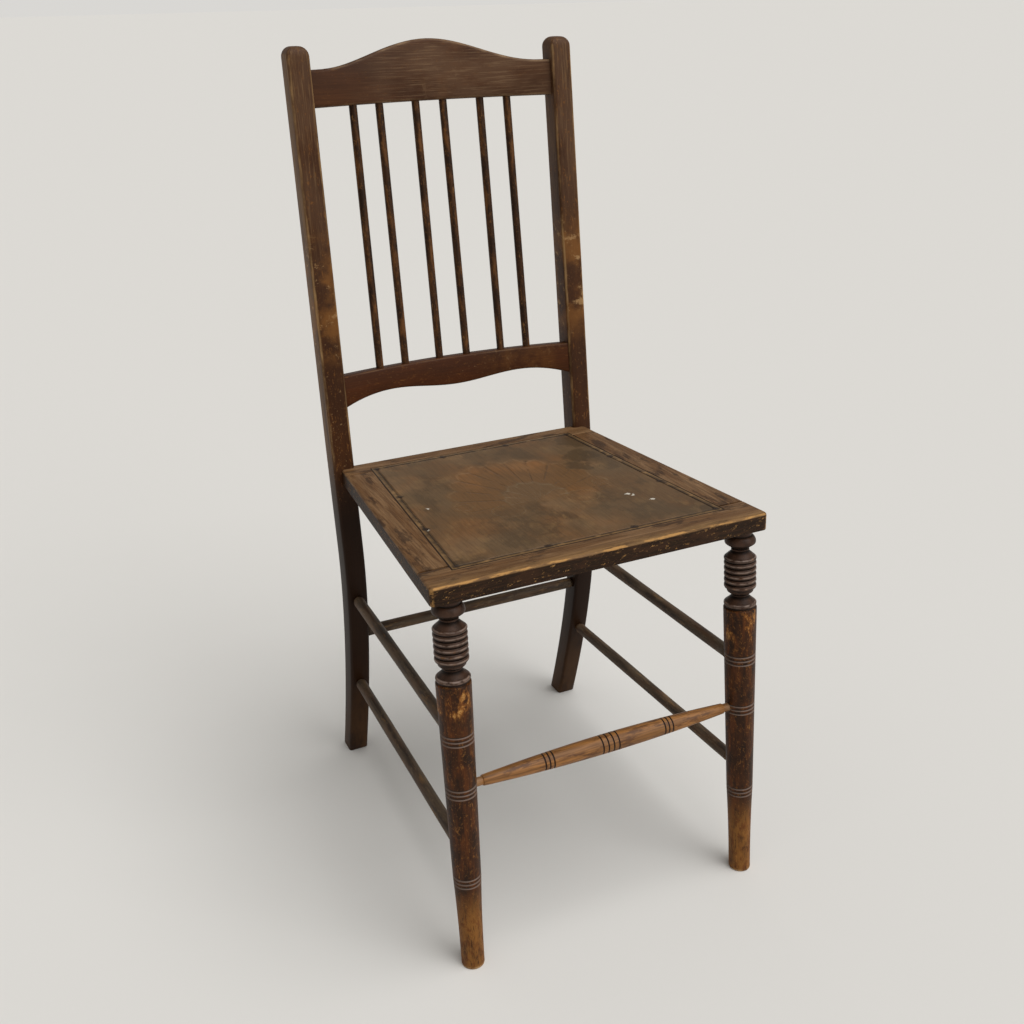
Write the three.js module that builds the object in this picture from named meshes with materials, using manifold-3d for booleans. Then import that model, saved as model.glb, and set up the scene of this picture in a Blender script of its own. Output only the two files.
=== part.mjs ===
// Turned wood dining chair
//
// A light side chair of stained hardwood: two sawn rear posts that rake back above the seat
// and sweep back to the floor, a shaped crest rail and a shaped lower rail with six spindles
// in three pairs between them, a flat framed seat with a pressed plywood panel nailed into
// its rebate, two ring-turned front legs, a turned front stretcher and five plain ones.
// Every piece is its own solid, and tenons sit in their mortises and sockets.
//
// Millimetres, +Z up, +X to the right seen from the front, the front faces -Y.
// The origin is on the floor, under the middle of the box around the chair.

import * as THREE from 'three';
import { mergeVertices } from 'three/addons/utils/BufferGeometryUtils.js';
import Module from 'manifold-3d';

const wasm = await Module();
wasm.setup();

// Fit of the joints
const fitGap = 0.3; // clearance all round a tenon, and between faces that meet
const overrun = 3; // how far a cutting solid runs past what it cuts

// Seat frame and its slope
const seatHeight = 445; // top of the seat at its front edge
const seatSlopeDeg = 2; // the seat falls towards the back
const seatFrontWidth = 381;
const seatBackWidth = 328.5; // where the side rails reach the posts
const seatDepth = 359.5; // front edge to the front faces of the posts
const seatPastPosts = 10.5; // how far the back rail runs on between the posts
const seatThickness = 19.5;
const seatCornerRadius = 6;
const seatTopRound = 3;
const seatUnderRound = 1.2;
const frontRailWidth = 42;
const sideRailWidth = 44;
const backRailWidth = 34;
const rebateWidth = 12; // ledge under the panel's edge
const panelThickness = 5;
const seatTenonThickness = 6.5;
const seatTenonWidth = 26;
const seatTenonLength = 12;
const seatTenonRaise = 4.8; // from the underside of the rail
const backTenonLength = 10; // back rail into the posts
const backTenonDepth = 6.5;
const backTenonHeight = 12;

// Panel nails
const nailHeadRadius = 2.3;
const nailHeadThickness = 1.2; // let in flush with the panel
const nailShankRadius = 0.8;
const nailLength = 9;
const nailInset = 6.8; // from the panel's edge
const nailsAcross = 4; // along the front and along the back, corners included
const nailsBetween = 2; // along each side, between the corner nails

// Rear posts
const postSpacing = 322; // centre to centre at the seat and below it
const postSpacingTop = 316.5;
const postWidth = 25.7;
const postDepth = 30.5; // at the seat
const postDepthTop = 28.4;
const postDepthFoot = 28;
const postArris = 4; // radius of the rounded arrises
const postHeight = 901.5;
const postDome = 11; // height of the rounded top
const domeShare = 0.72; // how much of the post's half width the rounding takes
const backRakeDeg = 6.2; // lean of the posts above the knee
const kneeHeight = 330; // the posts are straight above it and curved below it
const footSweepDeg = 18.8; // lean of the posts at the floor
const footReach = 46.5; // foot behind the post's middle at seat height

// Crest rail
const crestDrop = 63.5; // lower edge below the tops of the posts
const crestEndHeight = 39.5;
const crestCrownHeight = 66.5;
const crestHumpWidth = 268;
const crestThickness = 17;
const crestRecess = 7; // front face behind the front of the posts, at the ends
const crestBow = 20; // how far the middle stands behind the ends
const crestRound = 4;
const crestTenonLength = 12;
const crestTenonThickness = 8;
const crestTenonShoulder = 7;

// Lower back rail
const lowerRailTopShare = 0.2125; // its upper edge up the back, from the seat to the posts' tops
const lowerRailEndDepth = 37.5;
const lowerRailWaistDepth = 27;
const lowerRailMiddleDepth = 34.5;
const lowerRailWaistPlace = 88; // from the middle
const lowerRailThickness = 18;
const lowerRailRecess = 3.5;
const lowerRailBow = 15;
const lowerRailRound = 2.5;
const lowerRailTenonLength = 12;
const lowerRailTenonThickness = 8;
const lowerRailTenonShoulder = 7;

// Spindles, in three pairs
const spindleRadius = 4.6;
const spindleSocket = 11; // depth of the holes that hold them
const innerSpindleTop = 17;
const innerSpindleBottom = 18;
const middleSpindleTop = 62.5;
const middleSpindleBottom = 63.5;
const outerSpindleTop = 95.3;
const outerSpindleBottom = 97.4;

// Front legs, in the seat and on the floor
const legInsetSide = 23.4; // axis from the side edge of the seat
const legInsetFront = 17.2; // axis from the front edge of the seat
const legSplaySide = 4.1;
const legSplayFront = 34;
const legTenonRadius = 8;
const legTenonLength = 13;

// Front leg turning, radii
const legFootRadius = 12.4;
const legAnkleRadius = 14.8; // at the lowest ring group
const legColumnRadius = 18; // at the top of the plain column
const legNotchRadius = 15.8; // between the column and the collar
const legCollarRadius = 17.6;
const legBeadRadius = 17.2;
const legBeadGrooveRadius = 14.8;
const legLastBeadRadius = 14;
const legNeckRadius = 8.7;
const legNeckRingRadius = 9.6;
const legTopBeadRadius = 16.5;
const legShoulderRadius = 12.2;

// Front leg turning, places up from the floor
const lowRings = 108.5;
const middleRings = 216;
const highRings = 277;
const ringPitch = 4.7;
const ringWidth = 2.2;
const ringDepth = 0.9;

// Front leg turning, places down from the seat's underside
const topBeadDrop = 12.6;
const topBeadRise = 6; // from its widest ring to the shoulder above it
const topBeadFall = 8.4; // from its widest ring to the neck below it
const upperNeckDrop = 22.4; // ring on the upper neck
const flangeDrop = 31.9; // upper edge of the barrel
const barrelDrop = 38.2; // first of the full beads
const beadPitch = 6.45;
const beadCount = 5;
const lastBeadDrop = 70.6;
const lowerNeckDrop = 75; // ring on the lower neck
const neckRingHalf = 1.2;
const coneGroovePlace = 1.9; // up from the rim that a cone rises from
const coneGrooveWidth = 1.1;
const coneGrooveDepth = 0.5;
const collarTopDrop = 83.9;
const collarFootDrop = 86.8;
const notchDrop = 88.3;
const columnDrop = 90;

// Front stretcher
const frontStretcherHeight = 216;
const frontStretcherMiddleRadius = 10.4;
const frontStretcherEndRadius = 5.7;
const frontStretcherTenonRadius = 4.6;
const frontStretcherShoulderGap = 7; // bare tenon between the shoulder and the leg
const frontStretcherGroupPlace = 72; // side ring groups from the middle
const sideGroupRings = 3;
const middleGroupRings = 4;
const sideGroupPitch = 5;
const middleGroupPitch = 6.4;
const stretcherRingWidth = 2;
const stretcherRingDepth = 0.8;

// Plain stretchers
const sideStretcherRadius = 6.9;
const sideTenonRadius = 5.2;
const sideShoulderGap = 2.5; // bare tenon between the shoulder and the wood it enters
const upperStretcherAtPost = 260.5;
const upperStretcherAtLeg = 269;
const lowerStretcherAtPost = 129;
const lowerStretcherAtLeg = 137;
const rearStretcherRadius = 7.1;
const rearTenonRadius = 5.6;
const rearStretcherHeight = 203.5;
const stretcherTenonLength = 12; // depth of the tenons in the legs and posts

// Smoothness of the faceted surfaces
const legSides = 18;
const stretcherSides = 14;
const spindleSides = 12;
const nailSides = 8;
const railStations = 24;
const sweepStations = 10;
const domeRings = 4;
const arrisSteps = 2;

// Finishes
const darkStain = new THREE.MeshStandardMaterial({ color: 0x4a2e1d, roughness: 0.48, metalness: 0 });
const legStain = new THREE.MeshStandardMaterial({ color: 0x5d3a20, roughness: 0.5, metalness: 0 });
const seatStain = new THREE.MeshStandardMaterial({ color: 0x6b523a, roughness: 0.55, metalness: 0 });
const panelStain = new THREE.MeshStandardMaterial({ color: 0x654a33, roughness: 0.55, metalness: 0 });
const bareBeech = new THREE.MeshStandardMaterial({ color: 0x9a633c, roughness: 0.6, metalness: 0 });
const stretcherStain = new THREE.MeshStandardMaterial({ color: 0x58452f, roughness: 0.6, metalness: 0 });
const darkIron = new THREE.MeshStandardMaterial({ color: 0x241c18, roughness: 0.5, metalness: 0.8 });

const radians = THREE.MathUtils.degToRad;
const lerp = THREE.MathUtils.lerp;
const clamp = THREE.MathUtils.clamp;
const point = (x, y, z) => new THREE.Vector3(x, y, z);

// Closed mesh as a solid that can be joined and cut, in the frame of the matrix
function solidOf(geometry, matrix = new THREE.Matrix4()) {
  const bare = geometry.clone().applyMatrix4(matrix);
  for (const extra of ['normal', 'uv']) {
    if (bare.hasAttribute(extra)) bare.deleteAttribute(extra);
  }
  const merged = mergeVertices(bare);
  const triangles = [];
  const index = merged.index.array;
  for (let i = 0; i < index.length; i += 3) {
    const [a, b, c] = [index[i], index[i + 1], index[i + 2]];
    if (a !== b && b !== c && c !== a) triangles.push(a, b, c);
  }
  const vertProperties = new Float32Array(merged.attributes.position.array);
  const triVerts = new Uint32Array(triangles);
  return new wasm.Manifold(new wasm.Mesh({ numProp: 3, vertProperties, triVerts }));
}

// Solid back to a mesh geometry
function geometryOf(solid) {
  const { vertProperties, triVerts } = solid.getMesh();
  const geometry = new THREE.BufferGeometry();
  geometry.setAttribute('position', new THREE.BufferAttribute(new Float32Array(vertProperties), 3));
  geometry.setIndex(new THREE.BufferAttribute(new Uint32Array(triVerts), 1));
  geometry.computeVertexNormals();
  return geometry;
}

function cut(solid, tools) {
  return tools.reduce((left, tool) => left.subtract(tool), solid);
}

function meshOf(name, geometry, finish) {
  const mesh = new THREE.Mesh(geometry, finish);
  mesh.name = name;
  return mesh;
}

// Closed skin over a row of rings that all have the same number of points
function loft(rings) {
  const count = rings[0].length;
  const positions = rings.flat().flatMap((p) => [p.x, p.y, p.z]);
  const index = [];
  for (let ring = 0; ring + 1 < rings.length; ring += 1) {
    for (let i = 0; i < count; i += 1) {
      const a = ring * count + i;
      const b = ring * count + ((i + 1) % count);
      index.push(a, b, b + count, a, b + count, a + count);
    }
  }
  for (const last of [false, true]) {
    const ring = last ? rings[rings.length - 1] : rings[0];
    const start = last ? (rings.length - 1) * count : 0;
    const centre = ring.reduce((sum, p) => sum.add(p), point(0, 0, 0)).divideScalar(count);
    const hub = positions.length / 3;
    positions.push(centre.x, centre.y, centre.z);
    for (let i = 0; i < count; i += 1) {
      const a = start + i;
      const b = start + ((i + 1) % count);
      index.push(hub, last ? a : b, last ? b : a);
    }
  }
  const geometry = new THREE.BufferGeometry();
  geometry.setAttribute('position', new THREE.Float32BufferAttribute(positions, 3));
  geometry.setIndex(index);
  return geometry;
}

// Rectangle with rounded corners, as [across, along] pairs, counter-clockwise
function roundedSection(halfAcross, halfAlong, radius) {
  const round = Math.min(radius, halfAcross, halfAlong);
  const outline = [];
  for (const [signA, signB, turn] of [[1, 1, 0], [-1, 1, 1], [-1, -1, 2], [1, -1, 3]]) {
    for (let step = 0; step <= arrisSteps; step += 1) {
      const angle = ((turn + step / arrisSteps) * Math.PI) / 2;
      outline.push([
        signA * (halfAcross - round) + round * Math.cos(angle),
        signB * (halfAlong - round) + round * Math.sin(angle),
      ]);
    }
  }
  return outline;
}

// Solid of revolution about +Z from [place along the axis, radius] pairs, closed on the axis
function turned(profile, sides) {
  const first = profile[0];
  const last = profile[profile.length - 1];
  const closed = [[first[0], 0], ...profile, [last[0], 0]];
  const points = closed.map(([along, radius]) => new THREE.Vector2(radius, along));
  return new THREE.LatheGeometry(points, sides).rotateX(Math.PI / 2);
}

// Frame whose +Z runs from one point towards another
function aimed(from, to) {
  const direction = to.clone().sub(from).normalize();
  const turn = new THREE.Quaternion().setFromUnitVectors(point(0, 0, 1), direction);
  return new THREE.Matrix4().compose(from, turn, point(1, 1, 1));
}

function box(min, max) {
  const size = max.clone().sub(min);
  const middle = min.clone().add(max).multiplyScalar(0.5);
  return new THREE.BoxGeometry(size.x, size.y, size.z).translate(middle.x, middle.y, middle.z);
}

function grownBox(min, max, gap) {
  const margin = point(gap, gap, gap);
  return box(min.clone().sub(margin), max.clone().add(margin));
}

const mirrored = new THREE.Matrix4().makeScale(-1, 1, 1);

// Mirror image of a geometry in the chair's middle plane, with its faces still pointing out
function mirrorImage(geometry) {
  const image = geometry.clone().applyMatrix4(mirrored);
  const index = image.index.array;
  for (let i = 0; i < index.length; i += 3) {
    const kept = index[i];
    index[i] = index[i + 1];
    index[i + 1] = kept;
  }
  image.computeVertexNormals();
  return image;
}

// Frames of the seat and of the raked back

const seatFrame = new THREE.Matrix4()
  .makeTranslation(0, 0, seatHeight)
  .multiply(new THREE.Matrix4().makeRotationX(-radians(seatSlopeDeg)));
const fromSeat = (x, y, z) => point(x, y, z).applyMatrix4(seatFrame);
const toSeat = seatFrame.clone().invert();

const seatDropAtPosts = seatDepth * Math.tan(radians(seatSlopeDeg));
const backSlope = Math.tan(radians(backRakeDeg));
const postMiddleAtSeat = seatDepth + postDepth / 2 + seatDropAtPosts * backSlope;

const backFrame = new THREE.Matrix4()
  .makeTranslation(0, postMiddleAtSeat, seatHeight)
  .multiply(new THREE.Matrix4().makeRotationX(-radians(backRakeDeg)));
const toBack = backFrame.clone().invert();

// Place up the raked back that lies at a height above the seat's, at a distance behind the
// posts' middle line
const upRake = (rise, behind) => rise / Math.cos(radians(backRakeDeg)) + behind * backSlope;

// Middle line of the right post: a straight raked part above the knee, and below it a
// quadratic curve that starts along the rake and ends along the sweep of the foot

const postFoot = new THREE.Vector2(postMiddleAtSeat + footReach, 0);
const postKnee = new THREE.Vector2(postMiddleAtSeat - (seatHeight - kneeHeight) * backSlope, kneeHeight);
const sweepSlope = Math.tan(radians(footSweepDeg));
const tangentMeeting = (postFoot.x - postKnee.x + kneeHeight * backSlope) / (backSlope + sweepSlope);
const postSweep = new THREE.QuadraticBezierCurve(
  postFoot,
  new THREE.Vector2(postFoot.x - tangentMeeting * sweepSlope, tangentMeeting),
  postKnee,
);

// Place and section of the right post at a height
function postAt(height) {
  const upShare = clamp((height - seatHeight) / (postHeight - seatHeight), 0, 1);
  const downShare = clamp((seatHeight - height) / seatHeight, 0, 1);
  let y = postMiddleAtSeat + (height - seatHeight) * backSlope;
  if (height < kneeHeight) {
    let low = 0;
    let high = 1;
    for (let step = 0; step < 40; step += 1) {
      const middle = (low + high) / 2;
      if (postSweep.getPoint(middle).y < height) low = middle;
      else high = middle;
    }
    y = postSweep.getPoint(low).x;
  }
  return {
    x: lerp(postSpacing, postSpacingTop, upShare) / 2,
    y,
    halfWidth: postWidth / 2,
    halfDepth: lerp(lerp(postDepth, postDepthTop, upShare), postDepthFoot, downShare) / 2,
  };
}

// The right post before its mortises, larger all round by the given gap
function postBlank(gap) {
  const ring = (height, share, lift) => {
    const at = postAt(height);
    const section = roundedSection(at.halfWidth * share + gap, at.halfDepth * share + gap, postArris * share);
    return section.map(([across, along]) => point(at.x + across, at.y + along, height + lift));
  };
  const rings = [];
  for (let step = 0; step < sweepStations; step += 1) {
    rings.push(ring((kneeHeight * step) / sweepStations, 1, 0));
  }
  rings.push(ring(kneeHeight, 1, 0), ring(seatHeight, 1, 0));
  const domeStart = postHeight - postDome;
  rings.push(ring(domeStart, 1, gap));
  for (let step = 1; step <= domeRings; step += 1) {
    const angle = (step / domeRings) * (Math.PI / 2);
    rings.push(ring(domeStart + postDome * Math.sin(angle), 1 - domeShare * (1 - Math.cos(angle)), gap));
  }
  return loft(rings);
}

// Depth of a bowed rail's front face behind the posts' middle line, in the frame of the back
const bowedFace = (x, half, recess, bow, depthHere) => recess - depthHere / 2 + bow * (1 - (x / half) ** 2);

const crestBottom = postHeight - crestDrop - seatHeight;
const lowerRailTop = lowerRailTopShare * (postHeight - seatHeight);
const crestPost = postAt(seatHeight + crestBottom + crestEndHeight / 2);
const lowerRailPost = postAt(seatHeight + lowerRailTop - lowerRailEndDepth / 2);
const crestHalf = crestPost.x - crestPost.halfWidth;
const lowerRailHalf = lowerRailPost.x - lowerRailPost.halfWidth;

const crestFace = (x) => bowedFace(x, crestHalf, crestRecess, crestBow, 2 * crestPost.halfDepth);
const lowerRailFace = (x) => (
  bowedFace(x, lowerRailHalf, lowerRailRecess, lowerRailBow, 2 * lowerRailPost.halfDepth)
);

// Rail that follows a bow, from its face, lower edge and upper edge across the chair
function bowedRail(half, face, thickness, lower, upper, round) {
  const reach = half + postWidth / 2;
  const rings = [];
  for (let step = 0; step <= railStations; step += 1) {
    const x = lerp(-reach, reach, step / railStations);
    const inside = clamp(x, -half, half);
    const bottom = upRake(lower(inside), face(inside));
    const top = upRake(upper(inside), face(inside));
    const section = roundedSection(thickness / 2, (top - bottom) / 2, round);
    const middle = face(x) + thickness / 2;
    rings.push(section.map(([across, along]) => point(x, middle + across, (top + bottom) / 2 + along)));
  }
  return loft(rings);
}

function crestTop(x) {
  const t = clamp(Math.abs(x) / (crestHumpWidth / 2), 0, 1);
  const hump = (1 + Math.cos(Math.PI * t)) / 2;
  return crestBottom + lerp(crestEndHeight, crestCrownHeight, hump);
}

function lowerRailUnderside(x) {
  const away = Math.abs(x);
  if (away < lowerRailWaistPlace) {
    const swell = (1 + Math.cos((Math.PI * away) / lowerRailWaistPlace)) / 2;
    return lowerRailTop - lerp(lowerRailWaistDepth, lowerRailMiddleDepth, swell);
  }
  const t = (away - lowerRailWaistPlace) / (lowerRailHalf - lowerRailWaistPlace);
  return lowerRailTop - lerp(lowerRailWaistDepth, lowerRailEndDepth, t ** 2);
}

// Corners of a rail's right tenon, in the frame of the back
function railTenon(half, face, thickness, bottom, height, length, tenonThickness, shoulder) {
  const middle = face(half) + thickness / 2;
  const low = upRake(bottom, face(half));
  const high = upRake(bottom + height, face(half));
  return [
    point(half - 2 * overrun, middle - tenonThickness / 2, low + shoulder),
    point(half + length, middle + tenonThickness / 2, high - shoulder),
  ];
}

const crestTenon = railTenon(
  crestHalf, crestFace, crestThickness, crestBottom, crestEndHeight,
  crestTenonLength, crestTenonThickness, crestTenonShoulder,
);
const lowerRailTenon = railTenon(
  lowerRailHalf, lowerRailFace, lowerRailThickness, lowerRailTop - lowerRailEndDepth, lowerRailEndDepth,
  lowerRailTenonLength, lowerRailTenonThickness, lowerRailTenonShoulder,
);

// Spindles: ends in the lower rail and in the crest rail, in the frame of the back

const spindlePlaces = [
  [innerSpindleBottom, innerSpindleTop],
  [middleSpindleBottom, middleSpindleTop],
  [outerSpindleBottom, outerSpindleTop],
];
const spindleLines = [];
for (const side of [-1, 1]) {
  for (const [bottom, top] of spindlePlaces) {
    const lowFace = lowerRailFace(bottom);
    const highFace = crestFace(top);
    spindleLines.push({
      low: point(side * bottom, lowFace + lowerRailThickness / 2, upRake(lowerRailTop, lowFace)),
      high: point(side * top, highFace + crestThickness / 2, upRake(crestBottom, highFace)),
    });
  }
}
spindleLines.sort((a, b) => a.low.x - b.low.x);

// A spindle along +Z from its seat in the lower rail, longer at both ends by the socket depth
function spindleBlank(line, gap) {
  const span = line.high.distanceTo(line.low);
  const radius = spindleRadius + gap;
  const reach = spindleSocket + gap;
  const chamfer = spindleRadius / 5;
  return turned([
    [-reach, radius - chamfer],
    [chamfer - reach, radius],
    [span + reach - chamfer, radius],
    [span + reach, radius - chamfer],
  ], spindleSides);
}

// Seat plan, in the frame of the seat: half width at a distance from the front edge

const seatBackEdge = seatDepth + seatPastPosts;
const seatHalfAt = (y) => lerp(seatFrontWidth, seatBackWidth, y / seatDepth) / 2;

// Outline of the seat moved inwards all round, with rounded front corners
function seatOutline(inset) {
  const outline = [];
  const cornerSteps = 4;
  const radius = Math.max(seatCornerRadius - inset, seatCornerRadius / 10);
  for (let step = 0; step <= cornerSteps; step += 1) {
    const angle = (step / cornerSteps - 1) * (Math.PI / 2);
    const y = inset + radius + radius * Math.sin(angle);
    outline.push([seatHalfAt(y) - inset - radius + radius * Math.cos(angle), y]);
  }
  outline.push([seatHalfAt(seatBackEdge) - inset, seatBackEdge - inset]);
  const left = outline.map(([x, y]) => [-x, y]).reverse();
  return [...outline, ...left];
}

// The whole seat frame as one blank, with a rounded upper edge and a slightly eased lower one
function seatBlank() {
  const roundSteps = 3;
  const levels = [[seatUnderRound, 0], [0, seatUnderRound]];
  for (let step = 0; step <= roundSteps; step += 1) {
    const angle = (step / roundSteps) * (Math.PI / 2);
    const inset = seatTopRound * (1 - Math.cos(angle));
    levels.push([inset, seatThickness - seatTopRound * (1 - Math.sin(angle))]);
  }
  return loft(levels.map(([inset, up]) => (
    seatOutline(inset).map(([x, y]) => point(x, y, up - seatThickness))
  )));
}

// Prism over the trapezium that keeps the given distances from the seat's edges
function seatPrism(sideInset, front, back, bottom, top) {
  const corners = [[1, front], [1, back], [-1, back], [-1, front]];
  const ring = (z) => corners.map(([side, y]) => point(side * (seatHalfAt(y) - sideInset), y, z));
  return loft([ring(bottom), ring(top)]);
}

const panelEdgeInset = sideRailWidth - rebateWidth;
const panelFront = frontRailWidth - rebateWidth;
const backRailFront = seatBackEdge - backRailWidth;
const panelBack = backRailFront + rebateWidth;
const rebateDepth = panelThickness + fitGap;

const panelGeometry = seatPrism(
  panelEdgeInset + fitGap, panelFront + fitGap, panelBack - fitGap, -panelThickness, 0,
);

// Nails: a flat head driven flush with the panel's surface, on a short pointed shank

const nailGeometry = turned([
  [-nailLength, nailShankRadius / 4],
  [-nailLength + 2 * nailShankRadius, nailShankRadius],
  [-nailHeadThickness, nailShankRadius],
  [-nailHeadThickness, nailHeadRadius],
  [0, nailHeadRadius],
], nailSides);

const nailHole = turned([
  [-nailLength - fitGap, nailShankRadius + fitGap],
  [-nailHeadThickness - fitGap, nailShankRadius + fitGap],
  [-nailHeadThickness - fitGap, nailHeadRadius + fitGap],
  [overrun, nailHeadRadius + fitGap],
], nailSides);

const nailPlaces = [];
const nailFront = panelFront + nailInset;
const nailBack = panelBack - nailInset;
const nailHalfAt = (y) => seatHalfAt(y) - panelEdgeInset - nailInset;
for (const y of [nailFront, nailBack]) {
  for (let i = 0; i < nailsAcross; i += 1) {
    nailPlaces.push([lerp(-1, 1, i / (nailsAcross - 1)) * nailHalfAt(y), y]);
  }
}
for (const side of [-1, 1]) {
  for (let i = 1; i <= nailsBetween; i += 1) {
    const y = lerp(nailFront, nailBack, i / (nailsBetween + 1));
    nailPlaces.push([side * nailHalfAt(y), y]);
  }
}
const nailHoles = nailPlaces.map(([x, y]) => solidOf(nailHole, new THREE.Matrix4().makeTranslation(x, y, 0)));

// Tenons of the right side rail into the front rail and into the back rail

const tenonBottom = seatTenonRaise - seatThickness;
const tenonTop = tenonBottom + seatTenonThickness;

function sideTenon(atFront) {
  const shoulder = atFront ? frontRailWidth : backRailFront;
  const middle = seatHalfAt(shoulder) - sideRailWidth / 2;
  const inward = atFront ? -seatTenonLength : seatTenonLength;
  const root = atFront ? overrun : -overrun;
  const ends = [shoulder + inward, shoulder + root].sort((a, b) => a - b);
  return [
    point(middle - seatTenonWidth / 2, ends[0], tenonBottom),
    point(middle + seatTenonWidth / 2, ends[1], tenonTop),
  ];
}
const frontTenon = sideTenon(true);
const rearTenon = sideTenon(false);

// Tenon of the back rail into the right post, between the seat's two faces
const postInnerAtSeat = postSpacing / 2 - postWidth / 2;
const backTenonMiddle = seatBackEdge - seatPastPosts / 2;
const backTenonLow = -(seatThickness + backTenonHeight) / 2;
const backTenon = [
  point(postInnerAtSeat - 2 * overrun, backTenonMiddle - backTenonDepth / 2, backTenonLow),
  point(
    postInnerAtSeat + backTenonLength,
    backTenonMiddle + backTenonDepth / 2,
    backTenonLow + backTenonHeight,
  ),
];

// Axis of the right front leg, from the floor to the seat's underside

const legTop = fromSeat(seatFrontWidth / 2 - legInsetSide, legInsetFront, -seatThickness);
const legFoot = point(legTop.x + legSplaySide, legTop.y - legSplayFront, 0);
const legLength = legTop.distanceTo(legFoot);
const legFrame = aimed(legFoot, legTop);
const legAxisAt = (height) => legFoot.clone().lerp(legTop, height / legTop.z);

// Radius of the plain column, which swells to the lowest rings and then tapers up slowly
function legRadiusAt(place) {
  if (place < lowRings) return lerp(legFootRadius, legAnkleRadius, (place / lowRings) ** 2.2);
  const columnTop = legLength - columnDrop;
  return lerp(legAnkleRadius, legColumnRadius, (place - lowRings) / (columnTop - lowRings));
}

// A group of three turned grooves about a place on the leg
function ringGroup(middle) {
  const points = [];
  for (const step of [-1, 0, 1]) {
    const place = middle + step * ringPitch;
    const radius = legRadiusAt(place);
    points.push(
      [place - ringWidth / 2, radius],
      [place, radius - ringDepth],
      [place + ringWidth / 2, radius],
    );
  }
  return points;
}

// Profile of the leg from the floor to the seat's underside
function legProfile() {
  const down = (drop) => legLength - drop;
  const plain = (...places) => places.map((place) => [place, legRadiusAt(place)]);
  const topBeadFallShares = [[0.81, 0.2], [0.54, 0.67], [0.17, 0.95], [0, 1]];
  const topBeadRiseShares = [[0.5, 0.85], [0.9, 0.45], [1, 0]];
  // Fine groove on the straight cone that rises from a rim to the foot of a neck
  const coneGroove = (rim, radius, neckFoot) => {
    const at = (rise) => lerp(radius, legNeckRadius, rise / (neckFoot - rim));
    const start = coneGroovePlace - coneGrooveWidth / 2;
    const end = coneGroovePlace + coneGrooveWidth / 2;
    return [
      [rim + start, at(start)],
      [rim + coneGroovePlace, at(coneGroovePlace) - coneGrooveDepth],
      [rim + end, at(end)],
    ];
  };
  const bead = (middle, width, radius) => [
    [middle - width / 2, legBeadGrooveRadius],
    [middle - width / 4, radius],
    [middle + width / 4, radius],
  ];
  const neck = (middle) => [
    [middle - neckRingHalf, legNeckRadius],
    [middle, legNeckRingRadius],
    [middle + neckRingHalf, legNeckRadius],
  ];
  const fullBeads = [];
  for (let i = beadCount - 1; i >= 0; i -= 1) {
    fullBeads.push(...bead(down(barrelDrop + i * beadPitch), beadPitch, legBeadRadius));
  }
  const lastBead = down(lastBeadDrop);
  return [
    [-overrun, legFootRadius],
    [0, legFootRadius],
    ...plain(lowRings / 3, (lowRings * 2) / 3),
    ...ringGroup(lowRings),
    ...plain((lowRings + middleRings) / 2),
    ...ringGroup(middleRings),
    ...ringGroup(highRings),
    [down(columnDrop), legColumnRadius],
    [down(notchDrop), legNotchRadius],
    [down(collarFootDrop), legCollarRadius],
    [down(collarTopDrop), legCollarRadius],
    ...coneGroove(down(collarTopDrop), legCollarRadius, down(lowerNeckDrop) - neckRingHalf),
    ...neck(down(lowerNeckDrop)),
    [lastBead - beadPitch / 3, lerp(legNeckRadius, legLastBeadRadius, 0.7)],
    [lastBead, legLastBeadRadius],
    ...fullBeads,
    [down(barrelDrop) + beadPitch / 2, legBeadGrooveRadius],
    [down(flangeDrop) - beadPitch / 6, legBeadRadius],
    [down(flangeDrop), legBeadRadius],
    ...coneGroove(down(flangeDrop), legBeadRadius, down(upperNeckDrop) - neckRingHalf),
    ...neck(down(upperNeckDrop)),
    ...topBeadFallShares.map(([fall, share]) => (
      [down(topBeadDrop) - fall * topBeadFall, lerp(legNeckRadius, legTopBeadRadius, share)]
    )),
    ...topBeadRiseShares.map(([rise, share]) => (
      [down(topBeadDrop) + rise * topBeadRise, lerp(legShoulderRadius, legTopBeadRadius, share)]
    )),
    [legLength + overrun, legShoulderRadius],
  ];
}

function legTenonBlank(gap) {
  return turned([
    [legLength - 2 * overrun, legTenonRadius + gap],
    [legLength + legTenonLength + gap, legTenonRadius + gap],
  ], legSides);
}

// Plain turned bar between two points, with a tenon at each end and a rounded shoulder
function barBlank(start, end, radius, tenonRadius, startReach, endReach) {
  const length = start.distanceTo(end);
  const ease = radius - tenonRadius;
  return turned([
    [-startReach, tenonRadius],
    [0, tenonRadius],
    [0, tenonRadius + ease / 2],
    [ease / 2, radius],
    [length - ease / 2, radius],
    [length, tenonRadius + ease / 2],
    [length, tenonRadius],
    [length + endReach, tenonRadius],
  ], stretcherSides);
}

// Round socket that a tenon sits in, from the bar's shoulder outwards
function socketBlank(reach, tenonRadius) {
  return turned([
    [-reach - fitGap, tenonRadius + fitGap],
    [0, tenonRadius + fitGap],
  ], stretcherSides);
}

// A stretcher between two anchor points inside the wood, with the distances from each anchor
// to its shoulder; its tenons stop at the anchors' side of the shoulders by the tenon length
function stretcherBetween(startAnchor, startShoulder, endAnchor, endShoulder, bareLength) {
  const direction = endAnchor.clone().sub(startAnchor).normalize();
  const start = startAnchor.clone().addScaledVector(direction, startShoulder + bareLength);
  const end = endAnchor.clone().addScaledVector(direction, -endShoulder - bareLength);
  const reach = bareLength + stretcherTenonLength;
  return { start, end, reach, frame: aimed(start, end), backFrame: aimed(end, start) };
}

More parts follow.
